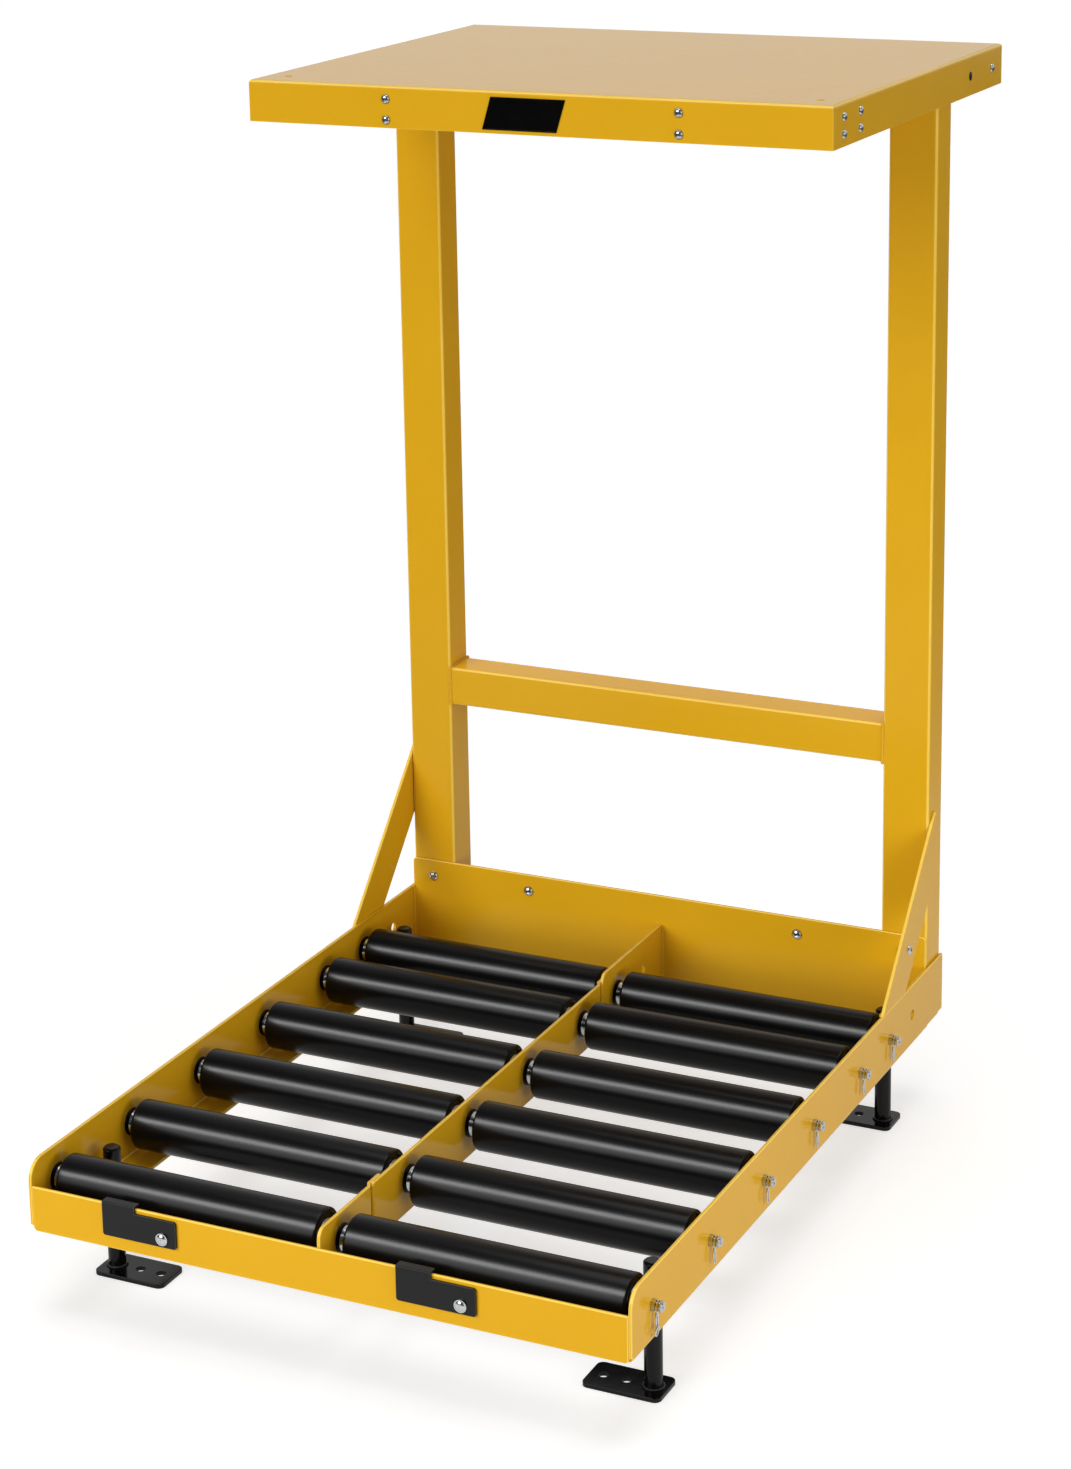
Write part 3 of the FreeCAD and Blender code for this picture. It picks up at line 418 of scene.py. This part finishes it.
def rollerLoop():  # one end outwards from the bore: hub, recess and tube, then its mirror
    s = rollerSizes
    half, outer, collar = s["half"], s["radius"], s["collar"]
    cap, wall = half - s["recess"], outer - s["wall"]
    edge, nip, fillet, lip, tube = s["collarEdge"], s["collarNip"], s["fillet"], s["lip"], s["tubeEdge"]
    seat, seatFloor = s["seat"], cap - s["seatDeep"]
    end = [(half, s["bore"]), (half, collar - edge), (half - nip, collar - nip), (half - edge, collar)]
    end += [(cap + fillet, collar), (cap, collar + fillet)]
    end += [(cap, seat[0]), (seatFloor, seat[1]), (seatFloor, seat[2]), (cap, seat[3])]
    end += [(cap, wall - lip), (cap + lip, wall), (half - tube, wall), (half, wall + tube)]
    for angle in quarter(s["steps"]):
        along = half - s["round"] * (1 - math.cos(angle))
        end.append((along, outer - s["round"] * (1 - math.sin(angle))))
    return end + mirrored(reversed(end), -1)


ringSizes = {"inner": 18.6, "outer": 21.9, "round": 1.2, "steps": 4, "low": 4.6, "high": 0.3, "count": 64}


def hubRingLoop():  # the bright bearing ring that stands in a hub's recess
    s = ringSizes
    low, high = rollerSizes["half"] - s["low"], rollerSizes["half"] - s["high"]
    arc = quarter(s["steps"])
    loop = [(low, s["inner"])] + roundCorner(high, s["inner"], s["round"], (-1, 1), arc)
    loop += roundCorner(high, s["outer"], s["round"], (-1, -1), reversed(arc))
    return loop + [(low, s["outer"])]


rollerPieces = []
for side, sign in sides.items():
    for k, row in enumerate(axleRows, start=1):
        name, spot = f"roller_{side}_{k}", at(sign * rollerSizes["x"], row, axleZ)
        mesh = turned(rollerLoop(), spot, rollerSizes["count"])
        smoothShade(mesh)
        stands = [name, name + "_hubs"]
        rollerPieces.append(finishPiece(name + "_turned", mesh, rollerCoat, name, stands))
        mesh = None
        for way in (1, -1):
            mesh = turned(mirrored(hubRingLoop(), way), spot, ringSizes["count"], mesh)
        smoothShade(mesh)
        finishPiece(name + "_rings", mesh, spacerSteel, name)
print("rollers turned")

axleSizes = {
    "half": 473, "radius": 8, "tip": 2.0, "drill": 2.6, "drillDeep": 2.4, "dish": 0.7, "core": 0.05,
    "groove": 2.2, "grooves": (3.6, 8.0), "grooveWide": 2.2, "slope": 0.3, "smooth": 30, "count": 40,
}


def axleLoop():
    s = axleSizes
    half, radius, deep = s["half"], s["radius"], s["radius"] - s["groove"]
    end = [(half - s["drillDeep"], s["core"]), (half - s["dish"], s["drill"])]
    end += [(half, radius - s["tip"]), (half - s["tip"], radius)]
    for inset in s["grooves"]:
        start, stop = half - inset, half - inset - s["grooveWide"]
        end += [(start, radius), (start - s["slope"], deep), (stop + s["slope"], deep), (stop, radius)]
    return end + mirrored(reversed(end), -1)


for k, row in enumerate(axleRows, start=1):
    mesh = turned(axleLoop(), at(0, row, axleZ), axleSizes["count"])
    smoothShade(mesh, axleSizes["smooth"])
    finishPiece(f"axle_{k}_turned", mesh, axleSteel, "frame", [f"axle_{k}"])

seats = ((-452, 1), (-2.5, -1), (2.5, 1), (452, -1))  # faces of the rails and divider, and the way off each
discSizes = {"near": 20.5, "far": 20.5, "round": 1.1, "bore": 8.1, "from": 0.05, "to": 2.8}
collarSizes = {"near": 17.5, "far": 11.5, "round": 2.5, "bore": 8.1, "from": 2.7, "to": 17.4}


def ringedSeats(s, steps=5, count=56):  # the same turned ring at every seat, both sides of each sheet
    arc = quarter(steps)
    loop = [(s["from"], s["bore"])]
    loop += roundCorner(s["from"], s["near"], s["round"], (1, -1), reversed(arc))
    loop += roundCorner(s["to"], s["far"], s["round"], (-1, -1), arc)
    loop.append((s["to"], s["bore"]))
    mesh = None
    for row in axleRows:
        for x, way in seats:
            mesh = turned(mirrored(loop, way), at(x, row, axleZ), count, mesh)
    smoothShade(mesh)
    return mesh


collars = ringedSeats(collarSizes)
finishPiece("axle_spacer_collars", collars, spacerSteel, "frame", ["axle_spacers"])
finishPiece("axle_spacer_discs", ringedSeats(discSizes), discCoat, "frame")
print("axles and spacers turned")


# one tree per kind of repeated piece; its named inputs are its sizes
def newTree(name, sizes, **others):
    tree = bpy.data.node_groups.new(name, "GeometryNodeTree")
    tree.interface.new_socket(name="Geometry", in_out="INPUT", socket_type="NodeSocketGeometry")
    kinds = {label: "Float" for label in sizes} | others | {"Finish": "Material"}
    for label, kind in kinds.items():
        tree.interface.new_socket(name=label, in_out="INPUT", socket_type="NodeSocket" + kind)
    tree.interface.new_socket(name="Geometry", in_out="OUTPUT", socket_type="NodeSocketGeometry")
    given = tree.nodes.new("NodeGroupInput").outputs
    return tree, given


def endTree(tree, geometry, material):  # realize, then the finish
    real = addNode(tree, "GeometryNodeRealizeInstances", Geometry=geometry)
    finish = addNode(tree, "GeometryNodeSetMaterial", Geometry=real.outputs["Geometry"], Material=material)
    addNode(tree, "NodeGroupOutput", Geometry=finish.outputs["Geometry"])
    return tree


def repeated(tree, given, parts):  # the parts joined at each point, turned as the point says
    both = addNode(tree, "GeometryNodeJoinGeometry")
    for part in parts:
        tree.links.new(part, both.inputs[0])
    turn = addNode(tree, "GeometryNodeInputNamedAttribute", {"data_type": "FLOAT_VECTOR"}, Name="turn")
    links = {"Instance": both.outputs[0], "Rotation": turn.outputs["Attribute"]}
    copies = addNode(tree, "GeometryNodeInstanceOnPoints", Points=given["Geometry"], **links)
    return endTree(tree, copies.outputs["Instances"], given["Finish"])


def grown(tree, mesh, sizes, name, finish, **others):  # the tree's result as a plain mesh
    values = {label: size * mm for label, size in sizes.items()} | others | {"Finish": finish}
    obj = scratchObject(mesh)
    modifier = obj.modifiers.new("grow", "NODES")
    modifier.node_group = tree
    for item in tree.interface.items_tree:
        if item.in_out == "INPUT" and item.name in values:
            modifier[item.identifier] = values[item.name]
    return bakedMesh(obj, name)


def moved(tree, geometry, z):
    shift = addNode(tree, "ShaderNodeCombineXYZ", Z=z).outputs[0]
    return addNode(tree, "GeometryNodeTransform", Geometry=geometry, Translation=shift).outputs[0]


def rod(tree, corners, radius, depth):
    looks = {"Vertices": corners, "Radius": radius, "Depth": depth}
    return addNode(tree, "GeometryNodeMeshCylinder", **looks).outputs["Mesh"]


screwShape = {"segments": 28, "rings": 14, "flange": 0.54, "shank": 0.3, "shankSides": 16}  # parts of a head


def buttonScrewTree():  # dome head with a hexagon socket on a thin flange, one at each point
    s = screwShape
    tree, given = newTree("buttonScrews", ("Head", "Rise", "Flange", "Socket", "Length"))
    ball = addNode(tree, "GeometryNodeMeshUVSphere", Segments=s["segments"], Rings=s["rings"], Radius=0.5)
    twice = combined(tree, "MULTIPLY", given["Rise"], 2)
    scale = addNode(tree, "ShaderNodeCombineXYZ", X=given["Head"], Y=given["Head"], Z=twice).outputs[0]
    dome = addNode(tree, "GeometryNodeTransform", Geometry=ball.outputs["Mesh"], Scale=scale).outputs[0]
    key = moved(tree, rod(tree, 6, given["Socket"], given["Rise"]), given["Rise"])
    cutOut = addNode(tree, "GeometryNodeMeshBoolean", {"operation": "DIFFERENCE"}, i0=dome, i1=key).outputs[0]
    wide = combined(tree, "MULTIPLY", given["Head"], s["flange"])
    flange = rod(tree, s["segments"], wide, given["Flange"])
    thin = combined(tree, "MULTIPLY", given["Head"], s["shank"])
    drop = combined(tree, "MULTIPLY", given["Length"], -0.5)
    shank = moved(tree, rod(tree, s["shankSides"], thin, given["Length"]), drop)
    return repeated(tree, given, (cutOut, flange, shank))


nutShape = {"corner": 0.577, "face": 0.47, "faceRise": 1.1, "faceSides": 24}  # parts of the width and height


def nutTree():  # hexagon nut with a round face, one at each point
    s = nutShape
    tree, given = newTree("hexagonNuts", ("Across", "Height"))
    six = rod(tree, 6, combined(tree, "MULTIPLY", given["Across"], s["corner"]), given["Height"])
    face = combined(tree, "MULTIPLY", given["Across"], s["face"])
    tall = combined(tree, "MULTIPLY", given["Height"], s["faceRise"])
    return repeated(tree, given, (six, rod(tree, s["faceSides"], face, tall)))


def setFasteners(tree, spots, sizes, name, stands=()):  # each spot is a point and the way it faces
    points = bpy.data.meshes.new("spots")
    points.from_pydata([p for p, way in spots], [], [])
    turns = points.attributes.new("turn", "FLOAT_VECTOR", "POINT")
    turns.data.foreach_set("vector", [v for p, way in spots for v in facing[way]])
    mesh = grown(tree, points, sizes, name, zincPlate)
    smoothShade(mesh)
    finishPiece(name, mesh, zincPlate, "frame", stands)


facing = {"front": (math.pi / 2, 0, 0), "right": (0, math.pi / 2, 0), "left": (0, -math.pi / 2, 0)}
screwTree = buttonScrewTree()
screwSizes = {"Head": 13, "Rise": 4.2, "Flange": 1.2, "Socket": 2.6, "Length": 13}
screwPlaces = {"frontX": 228.5, "frontZ": (1618.5, 1588.5), "sideY": (41, 106), "sideZ": (1618, 1594)}
rearScrewY, rearScrewZ = 1397, 1606
spots = [
    (at(sign * screwPlaces["frontX"], shelfFrontY, z), "front")
    for sign in sides.values() for z in screwPlaces["frontZ"]
]
for side, sign in sides.items():
    x = sign * shelfSideX
    for y in screwPlaces["sideY"]:
        spots += [(at(x, shelfFrontY + y, z), side) for z in screwPlaces["sideZ"]]
    spots.append((at(x, rearScrewY, rearScrewZ), side))
setFasteners(screwTree, spots, screwSizes, "shelf_screw_heads", ["shelf_screws"])

boltSizes = {"Head": 16, "Rise": 5, "Flange": 1.4, "Socket": 3.2, "Length": 24}
backFaceY = 1150
spots = [(at(x, backFaceY, backBoltZ), "front") for x in backBoltX]
setFasteners(screwTree, spots, boltSizes, "back_bolt_heads", ["back_plate_bolts"])
shortSizes = {"Head": 14, "Rise": 4.4, "Flange": 1.2, "Socket": 2.8, "Length": 4}
gussetBolt = (457, 1055.8, 291)
spots = [(at(sign * gussetBolt[0], *gussetBolt[1:]), side) for side, sign in sides.items()]
setFasteners(screwTree, spots, shortSizes, "gusset_bolt_heads")
pivotSizes = {"Head": 17, "Rise": 4.4, "Flange": 3.6, "Socket": 0.9, "Length": 21}
stopFaceY = -4.9
spots = [(at(x, stopFaceY, pivotZ), "front") for x in pivotX]
setFasteners(screwTree, spots, pivotSizes, "stop_bolt_heads", ["stop_pivot_bolts"])

nutSizes = {"Across": 17, "Height": 8}
backNutY, stopNutY = 1159, 9
spots = [(at(x, backNutY, backBoltZ), "front") for x in backBoltX[1:3]]  # the outer two end in the posts
spots += [(at(x, stopNutY, pivotZ), "front") for x in pivotX]
setFasteners(nutTree(), spots, nutSizes, "bolt_nuts")
print("screw heads set")


def evenCurve(tree, given):  # each path as a curve with points one step apart
    curve = addNode(tree, "GeometryNodeMeshToCurve", Mesh=given["Geometry"]).outputs["Curve"]
    even = addNode(tree, "GeometryNodeResampleCurve", {"mode": "LENGTH"}, Curve=curve, Length=given["Step"])
    return even.outputs["Curve"]


rippleShape = {"segments": 10, "rings": 7, "least": 0.86, "most": 1.08}


def weldTree():  # a bead laid as overlapping ripples along each path
    s = rippleShape
    tree, given = newTree("weldBeads", ("Width", "Step"), Seed="Int")
    spaced = evenCurve(tree, given)
    ball = addNode(tree, "GeometryNodeMeshUVSphere", Segments=s["segments"], Rings=s["rings"], Radius=0.5)
    tangent = addNode(tree, "GeometryNodeInputTangent").outputs["Tangent"]
    along = addNode(tree, "FunctionNodeAlignRotationToVector", {"axis": "Z"}, Vector=tangent)
    limits = {"i2": s["least"], "i3": s["most"]}
    vary = addNode(tree, "FunctionNodeRandomValue", {"data_type": "FLOAT"}, Seed=given["Seed"], **limits)
    size = combined(tree, "MULTIPLY", given["Width"], vary.outputs[1])
    scale = addNode(tree, "ShaderNodeCombineXYZ", X=size, Y=size, Z=given["Width"]).outputs[0]
    links = {"Rotation": along.outputs["Rotation"], "Scale": scale, "Instance": ball.outputs["Mesh"]}
    copies = addNode(tree, "GeometryNodeInstanceOnPoints", Points=spaced, **links)
    return endTree(tree, copies.outputs["Instances"], given["Finish"])


touching = 1e-6  # metres


def pathMesh(paths):  # each path is a list of points, closed where its ends meet
    points, lines = [], []
    for path in paths:
        first = len(points)
        closed = (path[0] - path[-1]).length < touching
        kept = path[:-1] if closed else path
        points += kept
        lines += [(first + k, first + k + 1) for k in range(len(kept) - 1)]
        if closed:
            lines.append((first + len(kept) - 1, first))
    mesh = bpy.data.meshes.new("paths")
    mesh.from_pydata(points, lines, [])
    return mesh


def ringPath(x, y, z, radius, steps=28):
    return [at(x + radius * math.cos(t), y + radius * math.sin(t), z) for t in fullTurn(steps)]


def layPaths(tree, paths, sizes, name, finish, body, slot, stands=(), **others):
    mesh = grown(tree, pathMesh(paths), sizes, name, finish, **others)
    smoothShade(mesh, degrees=50)
    finishPiece(name, mesh, finish, body, stands)


beadTree = weldTree()
beadSizes = {"Width": 6, "Step": 2.1}
barWelds = {"x": 375.5, "near": 1156, "far": 1218, "levels": ((552, 615.5), (1585, 1633))}
straightWelds = (  # x, then y and z of both ends
    (452.5, (1176, 372), (1176, 474)),  # gusset to post
    (451.5, (946, 225), (1036, 225)),  # gusset to rail
    (451.3, (1149.3, 132), (1149.3, 223)),  # back plate to rail
    (451.3, (5.8, 134), (5.8, 184)),  # front plate to rail
    (3.2, (1149.3, 132), (1149.3, 222)),  # divider to back plate
    (3.2, (5.8, 132), (5.8, 178)),  # divider to front plate
)
collarWelds = {"z": 128.6, "radius": 18.4}
lapWelds = {"x": 1.2, "rows": (156.5, 915.5), "low": 132, "high": 211}
paths = []
for sign in sides.values():
    x, near, far = sign * barWelds["x"], barWelds["near"], barWelds["far"]
    for low, high in barWelds["levels"]:  # both cross bars to the posts
        corners = ((near, low), (near, high), (far, high), (far, low), (near, low))
        paths.append([at(x, y, z) for y, z in corners])
    paths += [[at(sign * x, *start), at(sign * x, *stop)] for x, start, stop in straightWelds]
    for row in footRows.values():
        paths.append(ringPath(sign * footX, row, collarWelds["z"], collarWelds["radius"]))
for row in lapWelds["rows"]:
    paths.append([at(lapWelds["x"], row, lapWelds["low"]), at(lapWelds["x"], row, lapWelds["high"])])
layPaths(beadTree, paths, beadSizes, "frame_welds", weldCoat, "frame", "frame_yellow", Seed=4)
footBeadSizes = {"Width": 5, "Step": 1.9}
footRing = {"z": 7.2, "radius": 13.6}
for end, row in footRows.items():
    for side, sign in sides.items():
        foot = end + "_" + side + "_foot"
        paths = [ringPath(sign * footX, row, footRing["z"], footRing["radius"])]
        layPaths(beadTree, paths, footBeadSizes, foot + "_weld", beadPaint, foot, "foot_black", Seed=9)
print("welds laid")


def wireTree():  # a round wire along each path
    tree, given = newTree("bentWire", ("Wire", "Step"))
    section = addNode(tree, "GeometryNodeCurvePrimitiveCircle", Resolution=12, Radius=given["Wire"])
    links = {"Profile_Curve": section.outputs["Curve"], "Fill_Caps": True}
    wire = addNode(tree, "GeometryNodeCurveToMesh", Curve=evenCurve(tree, given), **links)
    return endTree(tree, wire.outputs["Mesh"], given["Finish"])


pinSizes = {
    "x": 462.5, "top": 8.6, "loopTop": -11, "loopLow": -33, "loopHalf": 3.3, "lean": 0.8, "steps": 22,
    "tail": (0.2, 0.6, 1),
}
hungRing = {"x": 464, "y": 64, "z": 141.5, "lean": 1, "wide": 5, "tall": 7, "steps": 30}
wireSizes = {"Wire": 1.25, "Step": 0.9}


def pinPath(x, y, out):  # down through the axle into a long loop that hangs below
    s = pinSizes
    path = [at(x, y, axleZ + s["top"]), at(x, y, axleZ + s["loopTop"])]
    middle, tall = (s["loopTop"] + s["loopLow"]) / 2, (s["loopTop"] - s["loopLow"]) / 2
    for t in fullTurn(s["steps"])[1:-1]:
        lean, swing = out * s["lean"] * math.sin(t / 2), s["loopHalf"] * math.sin(t)
        path.append(at(x + lean, y - swing, axleZ + middle + tall * math.cos(t)))
    tail = s["tail"]
    return path + [at(x + out * tail[0], y + tail[1], axleZ + s["loopTop"] + tail[2])]


def hungPath():  # a ring that hangs from one loop
    s = hungRing
    path = []
    for t in fullTurn(s["steps"]):
        across, up = math.sin(t), math.cos(t)
        path.append(at(s["x"] + s["lean"] * up, s["y"] + s["wide"] * across, s["z"] + s["tall"] * up))
    return path


pins = [pinPath(sign * pinSizes["x"], row, sign) for row in axleRows for sign in sides.values()]
pins.append(hungPath())
layPaths(wireTree(), pins, wireSizes, "cotter_wires", zincPlate, "frame", "zinc_fasteners", ["cotter_pins"])
print("cotter pins bent")

badgeSizes = {
    "low": (-74, 42), "high": (-60, 56.5), "bottom": 1582, "top": 1629, "thick": 1.6,
    "border": 2.2, "step": 0.5, "sunk": 0.4, "edge": 0.35,
}


def blankPlate():  # bare plate on the shelf's front: a slanted blank with a raised border
    s = badgeSizes
    corners = [(x, s["bottom"]) for x in s["low"]] + [(x, s["top"]) for x in reversed(s["high"])]
    shape = bmesh.new()
    back = [shape.verts.new(at(x, shelfFrontY, z)) for x, z in corners]
    front = [shape.verts.new(at(x, shelfFrontY - s["thick"], z)) for x, z in corners]
    face = shape.faces.new(front)
    shape.faces.new(list(reversed(back)))
    for k in range(4):
        shape.faces.new((back[k], back[(k + 1) % 4], front[(k + 1) % 4], front[k]))
    bmesh.ops.recalc_face_normals(shape, faces=shape.faces)
    bmesh.ops.inset_region(shape, faces=[face], thickness=s["border"] * mm, depth=0)
    bmesh.ops.inset_region(shape, faces=[face], thickness=s["step"] * mm, depth=-s["sunk"] * mm)
    return roundedEdges(meshFrom(shape, "blank_plate"), s["edge"], "blank_plate")


finishPiece("blank_plate", blankPlate(), plateCoat, "frame")

deckPlugSizes = {"x": 417, "y": 760, "z": 1637.9, "radius": 5.5, "rise": 1.1, "smooth": 50, "count": 28}
plugProfile = ((1.0, 0.0), (0.92, 0.55), (0.6, 0.9), (0.3, 1.0))  # parts of the radius and the rise


def deckPlugs():  # low round plugs pressed into the deck near its front corners
    s = deckPlugSizes
    shape = bmesh.new()
    for sign in sides.values():
        rings = []
        for wide, high in plugProfile:
            radius, z = s["radius"] * wide, s["z"] + high * s["rise"]
            path = ringPath(sign * s["x"], s["y"], z, radius, s["count"])[:-1]
            rings.append([shape.verts.new(spot) for spot in path])
        for low, high in zip(rings, rings[1:]):
            for k in range(s["count"]):
                i = (k + 1) % s["count"]
                shape.faces.new((low[k], low[i], high[i], high[k]))
        shape.faces.new(rings[-1])
        shape.faces.new(list(reversed(rings[0])))
    mesh = meshFrom(shape, "deck_plugs")
    smoothShade(mesh, s["smooth"])
    return mesh


finishPiece("deck_plugs", deckPlugs(), yellowCoat, "frame")

sidePlugSizes = {
    "y": 1295, "z": 1606, "head": 6.8, "body": 5.8, "rise": 1.0, "deep": 4.5,
    "core": 0.05, "proud": 0.03, "brow": 0.2, "slope": 1.6, "smooth": 40, "count": 36,
}


def sidePlugs():  # black push-in plugs in the empty holes of the side flanges
    s = sidePlugSizes
    head, rise = s["head"], s["rise"]
    loop = [(-s["deep"], s["core"]), (-s["deep"], s["body"]), (s["proud"], s["body"]), (s["proud"], head)]
    loop += [(rise * 0.5, head - s["brow"]), (rise, head - s["slope"]), (rise, s["core"])]
    mesh = None
    for sign in sides.values():
        spot = at(sign * shelfSideX, s["y"], s["z"])
        mesh = turned(mirrored(loop, sign), spot, s["count"], mesh)
    smoothShade(mesh, s["smooth"])
    return mesh


finishPiece("side_hole_plugs", sidePlugs(), discCoat, "frame")
print("plate and plugs set")

for slot in nodes["foot_set_screws"].material_slots:
    slot.material = zincPlate

# stage: a pale floor that fades to white, four wide lights and three soft boxes
floorLooks = {
    "reach": 14, "matte": "#d8d8d8", "dusk": "#6a6a6a", "duskRange": (1.2, 2.6),
    "seenLift": 0.6, "shineRange": (1.2, 4.0), "shineLift": (0.35, 0.0),
}
roomLooks = {"fill": 0.27, "range": (-0.2, 0.75), "shine": (0.06, 0.74), "white": 1.0}
whiteLight = (1, 1, 1, 1)


def straightRays(tree, ray):  # rays from the camera, through glass or not
    return combined(tree, "MAXIMUM", ray["Is Camera Ray"], ray["Is Transmission Ray"])


def mixed(tree, share, first, second):
    return addNode(tree, "ShaderNodeMixShader", Fac=share, i1=first, i2=second).outputs[0]


def stageFloor():
    s = floorLooks
    reach = s["reach"]
    mesh = bpy.data.meshes.new("floor")
    corners = [(-reach, -reach, 0), (reach, -reach, 0), (reach, reach, 0), (-reach, reach, 0)]
    mesh.from_pydata(corners, [], [(0, 1, 2, 3)])
    floor = bpy.data.objects.new("floor", mesh)
    bpy.context.scene.collection.objects.link(floor)
    material = bpy.data.materials.new("paleStudioFloor")
    material.use_nodes = True
    tree = material.node_tree
    tree.nodes.clear()
    matte = addNode(tree, "ShaderNodeBsdfDiffuse", Color=linear(s["matte"])).outputs[0]
    dusk = addNode(tree, "ShaderNodeBsdfDiffuse", Color=linear(s["dusk"])).outputs[0]
    place = addNode(tree, "ShaderNodeTexCoord").outputs["Object"]
    away = addNode(tree, "ShaderNodeVectorMath", {"operation": "LENGTH"}, i0=place).outputs["Value"]
    ray = addNode(tree, "ShaderNodeLightPath").outputs
    seen = combined(tree, "MULTIPLY", straightRays(tree, ray), s["seenLift"])
    fade = ranged(tree, away, s["shineRange"], s["shineLift"], "SMOOTHSTEP")
    shone = combined(tree, "MULTIPLY", ray["Is Glossy Ray"], fade)
    level = combined(tree, "MAXIMUM", seen, shone)
    lift = addNode(tree, "ShaderNodeEmission", Color=whiteLight, Strength=level).outputs[0]
    far = ranged(tree, away, s["duskRange"], curve="SMOOTHSTEP")
    ground = mixed(tree, combined(tree, "MULTIPLY", ray["Is Glossy Ray"], far), matte, dusk)
    both = addNode(tree, "ShaderNodeAddShader", i0=ground, i1=lift).outputs[0]
    addNode(tree, "ShaderNodeOutputMaterial", Surface=both)
    mesh.materials.append(material)
    return floor


def studioWorld():  # white behind the object, a dim room on the viewer's side
    s = roomLooks
    world = bpy.data.worlds.new("studioWhite")
    world.use_nodes = True
    bpy.context.scene.world = world
    tree = world.node_tree
    tree.nodes.clear()
    way = addNode(tree, "ShaderNodeTexCoord").outputs["Generated"]
    depth = addNode(tree, "ShaderNodeSeparateXYZ", Vector=way).outputs["Y"]
    room = ranged(tree, depth, s["range"], s["shine"], "SMOOTHSTEP")
    fill, around, white = [
        addNode(tree, "ShaderNodeBackground", Color=whiteLight, Strength=strength).outputs[0]
        for strength in (s["fill"], room, s["white"])
    ]
    ray = addNode(tree, "ShaderNodeLightPath").outputs
    glossy = mixed(tree, ray["Is Glossy Ray"], fill, around)
    seen = mixed(tree, straightRays(tree, ray), glossy, white)
    addNode(tree, "ShaderNodeOutputWorld", Surface=seen)


def softBox(name, spot, target, size, power):
    lamp = bpy.data.lights.new(name, "AREA")
    lamp.shape, lamp.size, lamp.size_y, lamp.energy = "RECTANGLE", size[0], size[1], power
    obj = bpy.data.objects.new(name, lamp)
    obj.location = spot
    obj.rotation_euler = (Vector(target) - Vector(spot)).to_track_quat("-Z", "Y").to_euler()
    bpy.context.scene.collection.objects.link(obj)
    return obj


def softSun(name, spot, spread, power):  # a wide even light from far off, towards the origin
    lamp = bpy.data.lights.new(name, "SUN")
    lamp.angle, lamp.energy = math.radians(spread), power
    obj = bpy.data.objects.new(name, lamp)
    obj.rotation_euler = (-Vector(spot)).to_track_quat("-Z", "Y").to_euler()
    bpy.context.scene.collection.objects.link(obj)
    return obj


def flagged(lamp, pieces, state):  # keeps a lamp on some pieces, or off them
    reach = bpy.data.collections.new(lamp.name + "Reach")
    for piece in pieces:
        reach.objects.link(piece)
    for entry in reach.collection_objects:
        entry.light_linking.link_state = state
    lamp.light_linking.receiver_collection = reach


floor = stageFloor()
studioWorld()
flagged(softSun("frontLeft", (-0.45, -0.85, 0.5), spread=40, power=1.47), [floor], "EXCLUDE")
softSun("topBack", (0.0, 0.15, 1.0), spread=42, power=1.05)
flagged(softSun("rightSide", (0.85, -0.35, 0.2), spread=50, power=0.5), [floor], "EXCLUDE")
barTop = softSun("barTop", (0.0, 0.6, 0.8), spread=30, power=1.2)  # the shelf shades the bar from topBack
flagged(barTop, [yellowPieces["cross_bar"]], "INCLUDE")
for fill in (
    softBox("frontLow", (-0.6, -2.7, 0.7), (0, -0.6, 0.2), size=(1.6, 0.9), power=18),
    softBox("rightLow", (2.2, -0.6, 0.4), (0.45, -0.2, 0.2), size=(1.6, 0.6), power=15),
):
    fill.visible_glossy = False  # lights the tray without a patch on the coat
streak = softBox("rollerStreak", (-1.3, -2.9, 2.6), (-1.3, -0.3, 0.18), size=(5.0, 0.95), power=330)
streak.visible_diffuse = False  # only for the long highlight on the rollers
flagged(streak, rollerPieces, "INCLUDE")

viewSizes = {  # in pixels of the view, the sensor in millimetres and the clip in metres
    "focal": 3310.5, "wide": 1071, "tall": 1469, "centre": (499.45, 479.56), "sensor": 36, "clip": 60,
}
viewSpot = (2.0143, -4.1931, 2.2549)
viewRight = (0.89811, 0.43937, -0.019)
viewDown = (0.09152, -0.22898, -0.96912)
viewAhead = (-0.43015, 0.86863, -0.24586)


def photoView():
    s = viewSizes
    camera = bpy.data.cameras.new("photoView")
    camera.sensor_width, camera.sensor_fit = s["sensor"], "AUTO"
    camera.lens = s["focal"] * s["sensor"] / s["tall"]
    camera.shift_x = (s["wide"] / 2 - s["centre"][0]) / s["tall"]
    camera.shift_y = (s["centre"][1] - s["tall"] / 2) / s["tall"]
    camera.clip_end = s["clip"]
    pose = Matrix([(viewRight[k], -viewDown[k], -viewAhead[k]) for k in range(3)]).to_4x4()
    pose.translation = viewSpot
    viewer = bpy.data.objects.new("photoView", camera)
    viewer.matrix_world = pose
    bpy.context.scene.collection.objects.link(viewer)
    return viewer


bpy.context.scene.camera = photoView()
bpy.context.scene.view_settings.view_transform = "Standard"

print("stage and camera set")
